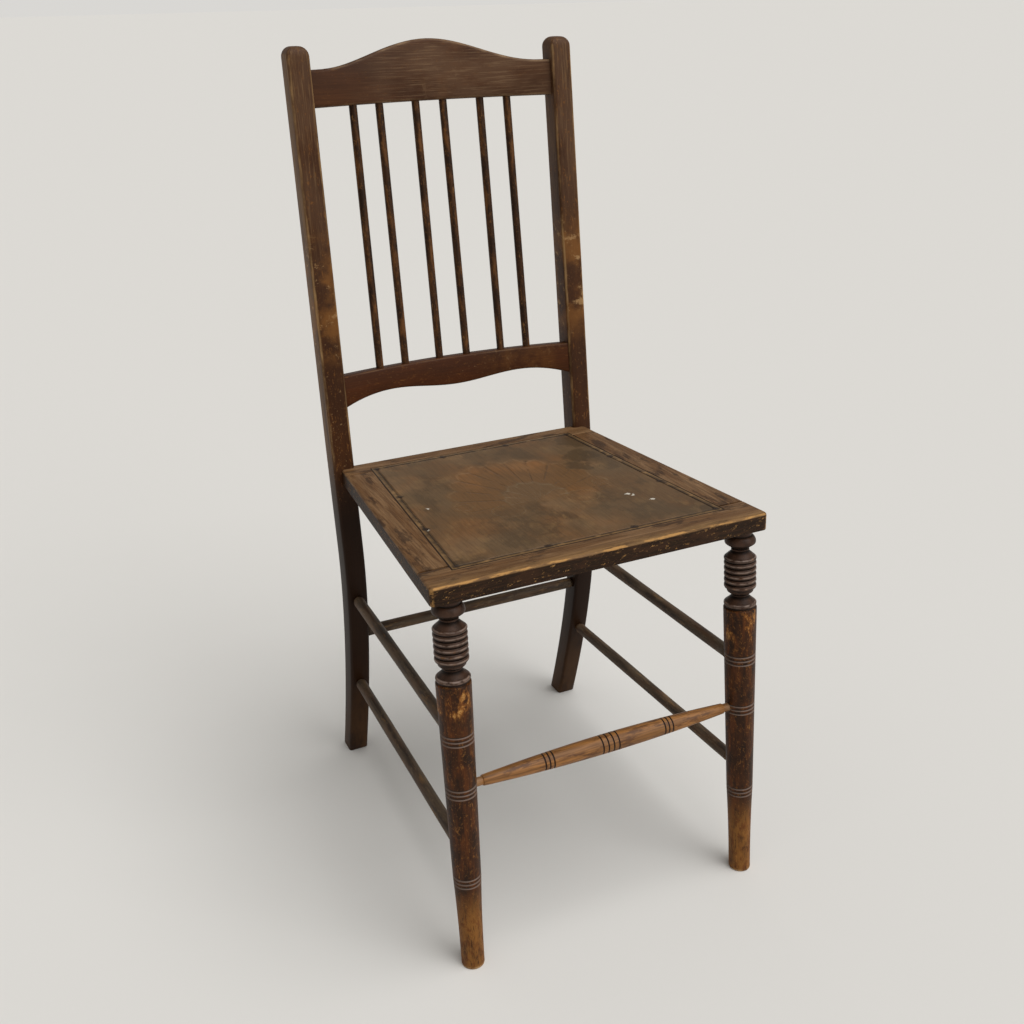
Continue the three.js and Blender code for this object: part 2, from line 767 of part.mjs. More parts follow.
// Side stretchers on the right: the front end is on the leg's axis, the rear end in the post
function sideStretcher(atPost, atLeg) {
  const post = postAt(atPost);
  const legPoint = legAxisAt(atLeg);
  const postPoint = point(post.x, post.y, atPost);
  return stretcherBetween(legPoint, legRadiusAt(atLeg), postPoint, post.halfDepth, sideShoulderGap);
}
const upperSide = sideStretcher(upperStretcherAtPost, upperStretcherAtLeg);
const lowerSide = sideStretcher(lowerStretcherAtPost, lowerStretcherAtLeg);

// Front and rear stretchers, from left to right
const frontAnchor = legAxisAt(frontStretcherHeight);
const frontBar = stretcherBetween(
  point(-frontAnchor.x, frontAnchor.y, frontAnchor.z), legRadiusAt(frontStretcherHeight),
  frontAnchor, legRadiusAt(frontStretcherHeight), frontStretcherShoulderGap,
);
const rearPost = postAt(rearStretcherHeight);
const rearBar = stretcherBetween(
  point(-rearPost.x, rearPost.y, rearStretcherHeight), rearPost.halfWidth,
  point(rearPost.x, rearPost.y, rearStretcherHeight), rearPost.halfWidth, 0,
);

// The turned front stretcher: a long swell with a group of grooves at the middle and one
// at each side, and bare tenons at the ends
function frontStretcherProfile() {
  const length = frontBar.start.distanceTo(frontBar.end);
  const half = length / 2;
  const radiusAt = (away) => lerp(frontStretcherMiddleRadius, frontStretcherEndRadius, (away / half) ** 2);
  const grooves = (middle, count, pitch) => {
    const points = [];
    for (let i = 0; i < count; i += 1) {
      const away = middle + (i - (count - 1) / 2) * pitch;
      const radius = radiusAt(Math.abs(away));
      points.push(
        [half + away - stretcherRingWidth / 2, radius],
        [half + away, radius - stretcherRingDepth],
        [half + away + stretcherRingWidth / 2, radius],
      );
    }
    return points;
  };
  const swell = (...shares) => shares.map((share) => [half + half * share, radiusAt(half * Math.abs(share))]);
  const ease = (frontStretcherEndRadius - frontStretcherTenonRadius) / 2;
  return [
    [-frontBar.reach, frontStretcherTenonRadius],
    [0, frontStretcherTenonRadius],
    [0, frontStretcherEndRadius - ease],
    [ease, frontStretcherEndRadius],
    ...swell(-0.88, -0.72),
    ...grooves(-frontStretcherGroupPlace, sideGroupRings, sideGroupPitch),
    ...swell(-0.26),
    ...grooves(0, middleGroupRings, middleGroupPitch),
    ...swell(0.26),
    ...grooves(frontStretcherGroupPlace, sideGroupRings, sideGroupPitch),
    ...swell(0.72, 0.88),
    [length - ease, frontStretcherEndRadius],
    [length, frontStretcherEndRadius - ease],
    [length, frontStretcherTenonRadius],
    [length + frontBar.reach, frontStretcherTenonRadius],
  ];
}

// Back: posts, rails and spindles

function makeRightPost() {
  const sideSocket = socketBlank(upperSide.reach, sideTenonRadius);
  return cut(solidOf(postBlank(0)), [
    solidOf(grownBox(...crestTenon, fitGap), backFrame),
    solidOf(grownBox(...lowerRailTenon, fitGap), backFrame),
    solidOf(grownBox(...backTenon, fitGap), seatFrame),
    solidOf(sideSocket, upperSide.backFrame),
    solidOf(sideSocket, lowerSide.backFrame),
    solidOf(socketBlank(rearBar.reach, rearTenonRadius), rearBar.backFrame),
  ]);
}

function makeBack() {
  const group = new THREE.Group();
  const post = geometryOf(makeRightPost());
  group.add(meshOf('rear_post_right', post, darkStain));
  group.add(meshOf('rear_post_left', mirrorImage(post), darkStain));

  const raked = new THREE.Group();
  raked.applyMatrix4(backFrame);
  const rightPost = postBlank(fitGap);
  const posts = [rightPost, mirrorImage(rightPost)].map((blank) => solidOf(blank, toBack));
  const tenonPair = (corners) => {
    const tenon = box(...corners);
    return [tenon, mirrorImage(tenon)].map((blank) => solidOf(blank));
  };
  const holes = spindleLines.map((line) => solidOf(spindleBlank(line, fitGap), aimed(line.low, line.high)));

  const crest = bowedRail(crestHalf, crestFace, crestThickness, () => crestBottom, crestTop, crestRound);
  const lower = bowedRail(
    lowerRailHalf, lowerRailFace, lowerRailThickness,
    lowerRailUnderside, () => lowerRailTop, lowerRailRound,
  );
  for (const [name, blank, corners] of [
    ['crest_rail', crest, crestTenon],
    ['lower_back_rail', lower, lowerRailTenon],
  ]) {
    let rail = cut(solidOf(blank), posts);
    for (const tenon of tenonPair(corners)) rail = rail.add(tenon);
    raked.add(meshOf(name, geometryOf(cut(rail, holes)), darkStain));
  }

  spindleLines.forEach((line, i) => {
    const spindle = meshOf(`back_spindle_${i + 1}`, spindleBlank(line, 0), darkStain);
    spindle.applyMatrix4(aimed(line.low, line.high));
    raked.add(spindle);
  });
  group.add(raked);
  return group;
}

// Seat: four rails cut from one blank, the panel in their rebate, and its nails

function makeSeat() {
  const group = new THREE.Group();
  group.applyMatrix4(seatFrame);
  const deep = -seatThickness - overrun;
  const wide = seatFrontWidth / 2 + overrun;

  const rightPost = postBlank(fitGap);
  const through = seatPrism(sideRailWidth, frontRailWidth, backRailFront, deep, overrun);
  const rebate = seatPrism(panelEdgeInset, panelFront, panelBack, -rebateDepth, overrun);
  const frame = cut(solidOf(seatBlank()), [
    solidOf(through),
    solidOf(rebate),
    solidOf(rightPost, toSeat),
    solidOf(mirrorImage(rightPost), toSeat),
    ...nailHoles,
  ]);

  const between = (front, back) => solidOf(box(point(-wide, front, deep), point(wide, back, overrun)));
  const rightHalf = solidOf(box(point(0, -overrun, deep), point(wide, seatBackEdge + overrun, overrun)));
  const bothSides = (corners, gap) => {
    const right = grownBox(...corners, gap);
    return [right, mirrorImage(right)].map((blank) => solidOf(blank));
  };
  const legSocket = geometryOf(solidOf(legTenonBlank(fitGap), toSeat.clone().multiply(legFrame)));
  const legSockets = [legSocket, mirrorImage(legSocket)].map((blank) => solidOf(blank));

  const front = cut(frame.intersect(between(-overrun, frontRailWidth)), [
    ...bothSides(frontTenon, fitGap),
    ...legSockets,
  ]);
  let back = cut(frame.intersect(between(backRailFront, seatBackEdge + overrun)), bothSides(rearTenon, fitGap));
  for (const tenon of bothSides(backTenon, 0)) back = back.add(tenon);
  const side = frame
    .intersect(between(frontRailWidth + fitGap, backRailFront - fitGap))
    .intersect(rightHalf)
    .add(solidOf(box(...frontTenon)))
    .add(solidOf(box(...rearTenon)));
  const sideGeometry = geometryOf(side);

  group.add(meshOf('seat_front_rail', geometryOf(front), seatStain));
  group.add(meshOf('seat_back_rail', geometryOf(back), seatStain));
  group.add(meshOf('seat_side_rail_right', sideGeometry, seatStain));
  group.add(meshOf('seat_side_rail_left', mirrorImage(sideGeometry), seatStain));
  group.add(meshOf('seat_panel', geometryOf(cut(solidOf(panelGeometry), nailHoles)), panelStain));

  nailPlaces.forEach(([x, y], i) => {
    const nail = meshOf(`panel_nail_${String(i + 1).padStart(2, '0')}`, nailGeometry, darkIron);
    nail.position.set(x, y, 0);
    group.add(nail);
  });
  return group;
}

// Base: the two front legs and the six stretchers

function makeRightLeg() {
  const seatBlock = box(
    point(0, -seatDepth, -seatThickness - fitGap),
    point(seatFrontWidth, seatDepth, seatThickness),
  );
  const floorBlock = box(point(0, -seatDepth, -seatThickness), point(seatFrontWidth, seatDepth, 0));
  const sideSocket = socketBlank(upperSide.reach, sideTenonRadius);
  const trimmed = cut(solidOf(turned(legProfile(), legSides), legFrame), [
    solidOf(seatBlock, seatFrame),
    solidOf(floorBlock),
  ]);
  return cut(trimmed.add(solidOf(legTenonBlank(0), legFrame)), [
    solidOf(sideSocket, upperSide.frame),
    solidOf(sideSocket, lowerSide.frame),
    solidOf(socketBlank(frontBar.reach, frontStretcherTenonRadius), frontBar.backFrame),
  ]);
}

function makeBase() {
  const group = new THREE.Group();
  const leg = geometryOf(makeRightLeg());
  group.add(meshOf('front_leg_right', leg, legStain));
  group.add(meshOf('front_leg_left', mirrorImage(leg), legStain));

  for (const [level, bar] of [['upper', upperSide], ['lower', lowerSide]]) {
    const blank = barBlank(bar.start, bar.end, sideStretcherRadius, sideTenonRadius, bar.reach, bar.reach);
    const right = meshOf(`side_stretcher_${level}_right`, blank, stretcherStain);
    right.applyMatrix4(bar.frame);
    const left = meshOf(`side_stretcher_${level}_left`, blank, stretcherStain);
    const mirrorPoint = (p) => point(-p.x, p.y, p.z);
    left.applyMatrix4(aimed(mirrorPoint(bar.start), mirrorPoint(bar.end)));
    group.add(right, left);
  }

  const front = meshOf('front_stretcher', turned(frontStretcherProfile(), stretcherSides), bareBeech);
  front.applyMatrix4(frontBar.frame);
  const rearBlank = barBlank(
    rearBar.start, rearBar.end, rearStretcherRadius, rearTenonRadius, rearBar.reach, rearBar.reach,
  );
  const rear = meshOf('rear_stretcher', rearBlank, stretcherStain);
  rear.applyMatrix4(rearBar.frame);
  group.add(front, rear);
  return group;
}

const chair = new THREE.Group();
chair.add(makeBack(), makeSeat(), makeBase());

// The chair's own origin: under the middle of the box around it
chair.updateMatrixWorld(true);
const around = new THREE.Box3().setFromObject(chair, true);
chair.position.y = -(around.min.y + around.max.y) / 2;
chair.updateMatrixWorld(true);

export default chair;
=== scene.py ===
"""Turned wood dining chair: the visual model that dresses the chair's fixed frame.

Every piece is modelled on the bench in millimetres, in the plane that it belongs to (the
seat's, the raked back's or a leg's axis), and is then settled into the chair in metres.
Heights are from the floor, x is from the chair's middle plane and y runs back from the
seat's front edge. Left and right are as seen from the front.
"""

import logging
import math
from collections.abc import Callable, Sequence
from dataclasses import dataclass
from enum import Enum

import bmesh
import bpy
from mathutils import Matrix, Vector


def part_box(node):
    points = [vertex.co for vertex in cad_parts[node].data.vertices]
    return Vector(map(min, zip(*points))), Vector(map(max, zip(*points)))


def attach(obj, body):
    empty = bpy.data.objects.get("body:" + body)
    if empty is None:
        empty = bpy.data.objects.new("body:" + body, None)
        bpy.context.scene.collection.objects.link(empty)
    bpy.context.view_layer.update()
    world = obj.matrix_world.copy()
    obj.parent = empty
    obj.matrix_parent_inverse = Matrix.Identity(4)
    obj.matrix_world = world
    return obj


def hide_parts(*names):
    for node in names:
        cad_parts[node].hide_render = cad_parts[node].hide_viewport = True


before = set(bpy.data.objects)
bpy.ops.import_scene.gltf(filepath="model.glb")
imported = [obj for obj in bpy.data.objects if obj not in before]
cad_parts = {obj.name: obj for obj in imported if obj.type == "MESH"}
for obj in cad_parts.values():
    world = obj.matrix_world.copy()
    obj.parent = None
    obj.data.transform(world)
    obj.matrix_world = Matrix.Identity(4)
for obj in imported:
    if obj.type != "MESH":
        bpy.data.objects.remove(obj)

log = logging.getLogger("chair")

Piece = bpy.types.Object
Element = bmesh.types.BMVert | bmesh.types.BMEdge | bmesh.types.BMFace
Curve = Callable[[float], float]
Triple = tuple[float, float, float]

# Millimetres in metres, the distance at which places count as one, and the one at
# which vertices are merged. Both distances are in millimetres.
MM = 0.001
NEAR = 0.01
WELD = 0.002
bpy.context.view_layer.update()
MATH = "ShaderNodeMath"


class Pick(Enum):
    """What a selection on the bench is made of."""

    VERTS = "VERT"
    EDGES = "EDGE"
    FACES = "FACE"


class Hand(Enum):
    """Side of the chair, as seen from the front."""

    LEFT = -1
    RIGHT = 1


def lerp(start: float, end: float, share: float) -> float:
    """Return the value a share of the way from start to end."""
    return start + (end - start) * share


def clamp(value: float, low: float = 0.0, high: float = 1.0) -> float:
    """Return the value held between two limits."""
    return max(low, min(high, value))


def make_active(piece: Piece) -> None:
    """Select one piece alone, for the tools that work on the selection.

    Args:
        piece: The piece.
    """
    bpy.ops.object.select_all(action="DESELECT")
    piece.select_set(True)
    bpy.context.view_layer.objects.active = piece


@dataclass(frozen=True)
class Layout:
    """Planes that the chair's sub-assemblies share, with their sizes in millimetres."""

    seat_height: float = 445.0
    seat_slope: float = math.radians(2.0)
    back_rake: float = math.radians(6.2)
    front_width: float = 381.0
    back_width: float = 328.5
    seat_depth: float = 359.5
    past_posts: float = 10.5
    seat_thickness: float = 19.5
    under_round: float = 1.2
    post_depth: float = 30.5

    @property
    def seat_plane(self) -> Matrix:
        """Return the seat's frame: its origin is the middle of the top's front edge."""
        lift = Matrix.Translation((0.0, 0.0, self.seat_height))
        return lift @ Matrix.Rotation(-self.seat_slope, 4, "X")

    @property
    def post_middle(self) -> float:
        """Return how far back the posts' middle line is at the seat's height."""
        drop = self.seat_depth * math.tan(self.seat_slope)
        return self.seat_depth + self.post_depth / 2 + drop * math.tan(self.back_rake)

    @property
    def back_plane(self) -> Matrix:
        """Return the raked back's frame: z runs up the posts' middle line."""
        lift = Matrix.Translation((0.0, self.post_middle, self.seat_height))
        return lift @ Matrix.Rotation(-self.back_rake, 4, "X")

    @property
    def in_frame(self) -> Matrix:
        """Find the step from the chair's millimetres to the fixed frame's metres.

        Returns:
            The step, as a matrix.
        """
        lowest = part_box("seat_front_rail")[0].y
        lean = (self.seat_thickness - self.under_round) * math.sin(self.seat_slope)
        return Matrix.Translation((0.0, lowest + lean * MM, 0.0)) @ Matrix.Scale(MM, 4)

    def half_width(self, y: float) -> float:
        """Return the seat's half width at a distance back from its front edge."""
        return lerp(self.front_width, self.back_width, y / self.seat_depth) / 2

    def up_rake(self, rise: float, behind: float) -> float:
        """Return the place up the raked back of a rise, behind the posts' middle line."""
        return rise / math.cos(self.back_rake) + behind * math.tan(self.back_rake)


LAYOUT = Layout()


class Bench:
    """One piece under the tools, in millimetres, starting as a one millimetre square."""

    def __init__(self, piece: Piece) -> None:
        """Put a piece on the bench, with all of it selected.

        Args:
            piece: The piece to work on.
        """
        self.piece = piece
        make_active(piece)
        bpy.ops.object.mode_set(mode="EDIT")
        bpy.ops.mesh.select_mode(type="VERT")
        bpy.ops.mesh.select_all(action="SELECT")

    @classmethod
    def fresh(cls, name: str) -> "Bench":
        """Start a new piece from a square of one millimetre.

        Args:
            name: The finished piece's name.

        Returns:
            The bench, with the square on it.
        """
        bpy.ops.object.select_all(action="DESELECT")
        bpy.ops.mesh.primitive_plane_add(size=1.0, location=(0.0, 0.0, 0.0))
        piece = bpy.context.active_object
        piece.name = name
        piece.data.name = name
        return cls(piece)

    def pick(self, kind: Pick, test: Callable[[Element], bool]) -> None:
        """Select the vertices, edges or faces that pass a test.

        Args:
            kind: What to select.
            test: Says for an element whether it is wanted.
        """
        bpy.ops.mesh.select_mode(type=kind.value)
        bpy.ops.mesh.select_all(action="DESELECT")
        shape = bmesh.from_edit_mesh(self.piece.data)
        shape.normal_update()
        elements = {Pick.VERTS: shape.verts, Pick.EDGES: shape.edges, Pick.FACES: shape.faces}
        for element in [element for element in elements[kind] if test(element)]:
            element.select_set(True)
        shape.select_flush_mode()
        bmesh.update_edit_mesh(self.piece.data)

    def extrude(self, step: Sequence[float]) -> None:
        """Extrude what is selected by a step."""
        bpy.ops.mesh.extrude_region_move(TRANSFORM_OT_translate={"value": tuple(step)})

    def move(self, step: Sequence[float]) -> None:
        """Move what is selected by a step."""
        bpy.ops.transform.translate(value=tuple(step))

    def scale(self, shares: Sequence[float], centre: Sequence[float]) -> None:
        """Scale what is selected about a point."""
        bpy.ops.transform.resize(value=tuple(shares), center_override=tuple(centre))

    def bevel(self, width: float, steps: int) -> None:
        """Round the selected edges to a width, in a number of steps."""
        bpy.ops.mesh.bevel(offset=width, offset_type="OFFSET", segments=steps, clamp_overlap=False)

    def slice(self, point: Sequence[float], normal: Sequence[float], drop: bool = False) -> None:
        """Cut the whole mesh along a plane.

        Args:
            point: A point on the plane.
            normal: The plane's normal.
            drop: Whether what lies behind the plane is cut off and the cut closed.
        """
        bpy.ops.mesh.select_all(action="SELECT")
        bpy.ops.mesh.bisect(plane_co=tuple(point), plane_no=tuple(normal), clear_inner=drop, use_fill=drop)

    def finish(self) -> Piece:
        """Close the mesh, turn its faces outwards and take it off the bench.

        Returns:
            The piece, in object mode.
        """
        bpy.ops.mesh.select_mode(type="VERT")
        bpy.ops.mesh.select_all(action="SELECT")
        bpy.ops.mesh.remove_doubles(threshold=WELD)
        bpy.ops.mesh.select_all(action="SELECT")
        bpy.ops.mesh.normals_make_consistent(inside=False)
        bpy.ops.object.mode_set(mode="OBJECT")
        return self.piece


class Turning:
    """Outline of a turned piece, drawn along its axis from one end to the other."""

    def __init__(self, along: float) -> None:
        """Start on the axis.

        Args:
            along: Place of the first end on the axis.
        """
        self.points: list[tuple[float, float]] = [(along, 0.0)]

    def to(self, along: float, radius: float) -> None:
        """Carry the outline straight to a place and radius."""
        self.points.append((along, radius))

    def bulge(self, along: float, radius: float, height: float, steps: int) -> None:
        """Carry the outline on in a rounded bead, or a hollow where the height is negative.

        Args:
            along: Place where the bead ends.
            radius: Radius there.
            height: How far its middle stands out of the straight line.
            steps: Number of points on it.
        """
        start_along, start_radius = self.points[-1]
        for step in range(1, steps + 1):
            angle = math.pi * step / steps
            share = (1 - math.cos(angle)) / 2
            self.to(
                lerp(start_along, along, share),
                lerp(start_radius, radius, share) + height * math.sin(angle),
            )

    def sweep(self, along: float, radius_at: Curve, spacing: float) -> None:
        """Carry the outline on along a formula.

        Args:
            along: Place where the stretch ends.
            radius_at: Gives the radius at a place.
            spacing: Longest distance between two points.
        """
        start = self.points[-1][0]
        steps = max(1, math.ceil((along - start) / spacing))
        for step in range(1, steps + 1):
            place = lerp(start, along, step / steps)
            self.to(place, radius_at(place))

    def relief(self, along: float, radius: float, reach: float) -> float:
        """Return how far a point stands out of the outline's average over a reach each way."""
        places = [along + reach * share for share in (-1.0, -0.6, -0.25, 0.25, 0.6, 1.0)]
        return radius - sum(self.radius_at(place) for place in places) / len(places)

    def radius_at(self, along: float) -> float:
        """Read the outline's radius, which is held at its end stretches past them.

        Args:
            along: Place on the axis.

        Returns:
            The radius there.
        """
        inner = self.points[1:-1]
        place = clamp(along, inner[0][0], inner[-1][0])
        for (low, low_radius), (high, high_radius) in zip(inner, inner[1:]):
            if low <= place <= high and high > low:
                return lerp(low_radius, high_radius, (place - low) / (high - low))
        return inner[-1][1]

    def spin(self, name: str, sides: int) -> Piece:
        """Spin the outline about the z axis.

        Args:
            name: The piece's name.
            sides: Number of steps in the full turn.

        Returns:
            The closed piece.
        """
        self.to(self.points[-1][0], 0.0)
        bench = Bench.fresh(name)
        bpy.ops.mesh.merge(type="CENTER")
        bench.move((0.0, 0.0, self.points[0][0]))
        for (along, radius), (next_along, next_radius) in zip(self.points, self.points[1:]):
            step = (next_radius - radius, 0.0, next_along - along)
            bpy.ops.mesh.extrude_vertices_move(TRANSFORM_OT_translate={"value": step})
        bpy.ops.mesh.select_all(action="SELECT")
        bpy.ops.mesh.spin(
            steps=sides, angle=math.tau, center=(0.0, 0.0, 0.0), axis=(0.0, 0.0, 1.0), use_auto_merge=True
        )
        return bench.finish()


def aimed(start: Vector, end: Vector) -> Matrix:
    """Return the frame at start whose z axis runs towards end."""
    turn = Vector((0.0, 0.0, 1.0)).rotation_difference((end - start).normalized())
    return Matrix.Translation(start) @ turn.to_matrix().to_4x4()


def direction(edge: bmesh.types.BMEdge) -> Vector:
    """Return the direction that an edge runs in."""
    return (edge.verts[1].co - edge.verts[0].co).normalized()


def duplicate(piece: Piece, name: str) -> Piece:
    """Copy a piece with its own mesh.

    Args:
        piece: The piece to copy.
        name: The copy's name.

    Returns:
        The copy.
    """
    make_active(piece)
    bpy.ops.object.duplicate(linked=False)
    copy = bpy.context.active_object
    copy.name = name
    copy.data.name = name
    return copy


def mirror(piece: Piece) -> None:
    """Turn a piece into its mirror image in the chair's middle plane."""
    piece.data.transform(Matrix.Scale(-1.0, 4, (1.0, 0.0, 0.0)))
    piece.data.flip_normals()


def mark(piece: Piece, name: str, measure: Callable[[Vector], Sequence[float]]) -> None:
    """Write a measurement of each vertex on a piece, for its finish to read.

    Args:
        piece: The piece, still in the frame that the measure is taken in.
        name: The attribute's name.
        measure: Gives three numbers for a place on the piece.
    """
    if name in piece.data.attributes:
        piece.data.attributes.remove(piece.data.attributes[name])
    store = piece.data.attributes.new(name, "FLOAT_VECTOR", "POINT")
    for vertex, value in zip(piece.data.vertices, store.data):
        value.vector = tuple(measure(vertex.co))


def settle(piece: Piece, place: Matrix) -> None:
    """Move a piece's mesh from the plane it was made in to the chair, in millimetres."""
    piece.data.transform(place)
    piece.data.update()


def cut(piece: Piece, tool: Piece) -> None:
    """Cut one closed piece out of another.

    Args:
        piece: What is cut.
        tool: What it is cut with, which stays.
    """
    make_active(piece)
    bpy.ops.object.modifier_add(type="BOOLEAN")
    modifier = piece.modifiers[-1]
    modifier.operation = "DIFFERENCE"
    modifier.solver = "EXACT"
    modifier.object = tool
    bpy.ops.object.modifier_apply(modifier=modifier.name)


def block(name: str, low: Sequence[float], high: Sequence[float], shrink: float = 1.0) -> Bench:
    """Start a squared block on the bench.

    Args:
        name: The piece's name.
        low: Its lowest corner.
        high: Its highest corner.
        shrink: Width of its back end as a share of its front end's.

    Returns:
        The bench, with the block on it.
    """
    bench = Bench.fresh(name)
    middle = [(a + b) / 2 for a, b in zip(low, high)]
    bench.scale((high[0] - low[0], high[1] - low[1], 1.0), (0.0, 0.0, 0.0))
    bench.move((middle[0], middle[1], low[2]))
    bench.extrude((0.0, 0.0, high[2] - low[2]))
    if shrink != 1.0:
        bench.pick(Pick.VERTS, lambda vert: vert.co.y > middle[1])
        bench.scale((shrink, 1.0, 1.0), (0.0, high[1], 0.0))
    return bench


Source = bpy.types.Node | bpy.types.NodeSocket
Spots = tuple[Triple, ...]


def linear(code: str) -> tuple[float, float, float, float]:
    """Turn an sRGB colour linear.

    Args:
        code: Its hex code, such as 7a4b2c.

    Returns:
        The linear colour.
    """
    channels = [int(code[place:place + 2], 16) / 255 for place in (0, 2, 4)]
    light = [c / 12.92 if c <= 0.04045 else ((c + 0.055) / 1.055) ** 2.4 for c in channels]
    return (*light, 1.0)


def add(
    tree: bpy.types.NodeTree,
    kind: str,
    inputs: dict[str | int, object] | None = None,
    **settings: object,
) -> bpy.types.Node:
    """Add a node with its settings and links.

    Args:
        tree: The material's node tree.
        kind: The node's type.
        inputs: Value, linked socket or linked node for each input, by name or number.
        **settings: The node's own properties.

    Returns:
        The node.
    """
    node = tree.nodes.new(kind)
    for name, value in settings.items():
        setattr(node, name, value)
    for name, value in (inputs or {}).items():
        if isinstance(value, bpy.types.Node):
            value = value.outputs[0]
        if isinstance(value, bpy.types.NodeSocket):
            tree.links.new(value, node.inputs[name])
        else:
            node.inputs[name].default_value = value
    return node


@dataclass(frozen=True)
class Band:
    """Soft-edged stretch of a measurement, open at an end that is None."""

    low: float | None
    high: float | None
    soft: float

    def mask(self, tree: bpy.types.NodeTree, value: Source) -> Source:
        """Add the band to a material.

        Args:
            tree: The material's node tree.
            value: The measurement.

        Returns:
            A mask that is 1 where the measurement lies in the band.
        """
        shown: Source | float = 1.0
        for edge, ease in ((self.low, -self.soft), (self.high, self.soft)):
            if edge is not None:
                side = add(
                    tree,
                    "ShaderNodeMapRange",
                    {"Value": value, "From Min": edge + ease, "From Max": edge - ease},
                    interpolation_type="SMOOTHSTEP",
                )
                shown = add(tree, MATH, {0: side, 1: shown}, operation="MULTIPLY")
        return shown


@dataclass(frozen=True)
class Patches:
    """Irregular patches in a finish, such as mottling, pores, scuffs or scratches.

    Sizes are in millimetres across, through and along the piece. Level is the strength of
    the pattern above which a patch shows, and soft is how gradually it does. Ragged runs
    from 0 for smooth-edged patches to 1 for ones that break up into specks and scratches.
    Detail is how fine they break up, seed moves them and turn tips them.
    """

    size: Triple
    level: float = 0.5
    soft: float = 0.1
    detail: float = 3.0
    seed: float = 0.0
    ragged: float = 0.5
    turn: float = 0.0

    def mask(self, tree: bpy.types.NodeTree, where: Source) -> Source:
        """Add the patches to a material.

        Args:
            tree: The material's node tree.
            where: Place on the piece, in millimetres.

        Returns:
            A mask that is 1 on the patches.
        """
        place = where
        if self.turn:
            place = add(
                tree,
                "ShaderNodeMapping",
                {"Vector": place, "Rotation": (self.turn, self.turn, self.turn)},
            )
        place = add(
            tree,
            "ShaderNodeMapping",
            {
                "Vector": place,
                "Location": (self.seed, self.seed / 2, self.seed / 3),
                "Scale": tuple(1 / size for size in self.size),
            },
        )
        noise = add(
            tree,
            "ShaderNodeTexNoise",
            {"Vector": place, "Scale": 1.0, "Detail": self.detail, "Roughness": self.ragged},
        )
        return Band(self.level, None, self.soft).mask(tree, noise)


class Surface:
    """A finish built up in coats, each with its colour, roughness and height together."""

    def __init__(self, name: str, colour: str, roughness: float) -> None:
        """Start from a bare even surface.

        Args:
            name: The material's name.
            colour: Hex colour of the first coat.
            roughness: Roughness of the first coat.
        """
        self.material = bpy.data.materials.new(name)
        self.material.use_nodes = True
        self.tree = self.material.node_tree
        self.tree.nodes.clear()
        self.colour: Source | tuple[float, ...] = linear(colour)
        self.roughness: Source | float = roughness
        self.height: Source | float = 0.0
        self.work = add(self.tree, "ShaderNodeAttribute", attribute_name="work").outputs["Vector"]
        self.along = self.split(self.work)[2]

    def split(self, vector: Source) -> list[Source]:
        """Return the three numbers of a measurement."""
        return list(add(self.tree, "ShaderNodeSeparateXYZ", {0: vector}).outputs)

    def marked(self, name: str) -> list[Source]:
        """Return the three numbers that were marked on the piece under a name."""
        return self.split(add(self.tree, "ShaderNodeAttribute", attribute_name=name).outputs["Vector"])

    def coat(
        self,
        colour: str,
        roughness: float,
        *where: Patches | Band | Source,
        strength: float = 1.0,
        rise: float = 0.0,
    ) -> None:
        """Lay a coat where all its masks show.

        Args:
            colour: Its hex colour.
            roughness: Its roughness.
            *where: Patches, bands along the piece or masks that it lies in.
            strength: How strongly its colour covers.
            rise: How far it stands up, in millimetres, or is cut in where negative.
        """
        tree = self.tree
        shown: Source | float = 1.0
        for item in where:
            mask = item
            if isinstance(item, Patches):
                mask = item.mask(tree, self.work)
            elif isinstance(item, Band):
                mask = item.mask(tree, self.along)
            shown = add(tree, MATH, {0: mask, 1: shown}, operation="MULTIPLY")
        cover = add(tree, MATH, {0: shown, 1: strength}, operation="MULTIPLY")
        mixed = add(tree, "ShaderNodeMix", {0: cover, 6: self.colour, 7: linear(colour)}, data_type="RGBA")
        self.colour = mixed.outputs[2]
        self.roughness = add(tree, "ShaderNodeMix", {0: cover, 2: self.roughness, 3: roughness})
        if rise:
            self.height = add(tree, MATH, {0: shown, 1: rise, 2: self.height}, operation="MULTIPLY_ADD")

    def close(self, **constants: float) -> bpy.types.Material:
        """Finish the material.

        Args:
            **constants: Shader settings that are the same all over, by socket name.

        Returns:
            The material.
        """
        tree = self.tree
        inputs: dict[str | int, object] = {"Base Color": self.colour, "Roughness": self.roughness}
        if not isinstance(self.height, float):
            inputs["Normal"] = add(
                tree, "ShaderNodeBump", {"Height": self.height, "Distance": MM, "Strength": 1.0}
            )
        inputs.update({name.replace("_", " "): value for name, value in constants.items()})
        shader = add(tree, "ShaderNodeBsdfPrincipled", inputs)
        add(tree, "ShaderNodeOutputMaterial", {"Surface": shader})
        return self.material


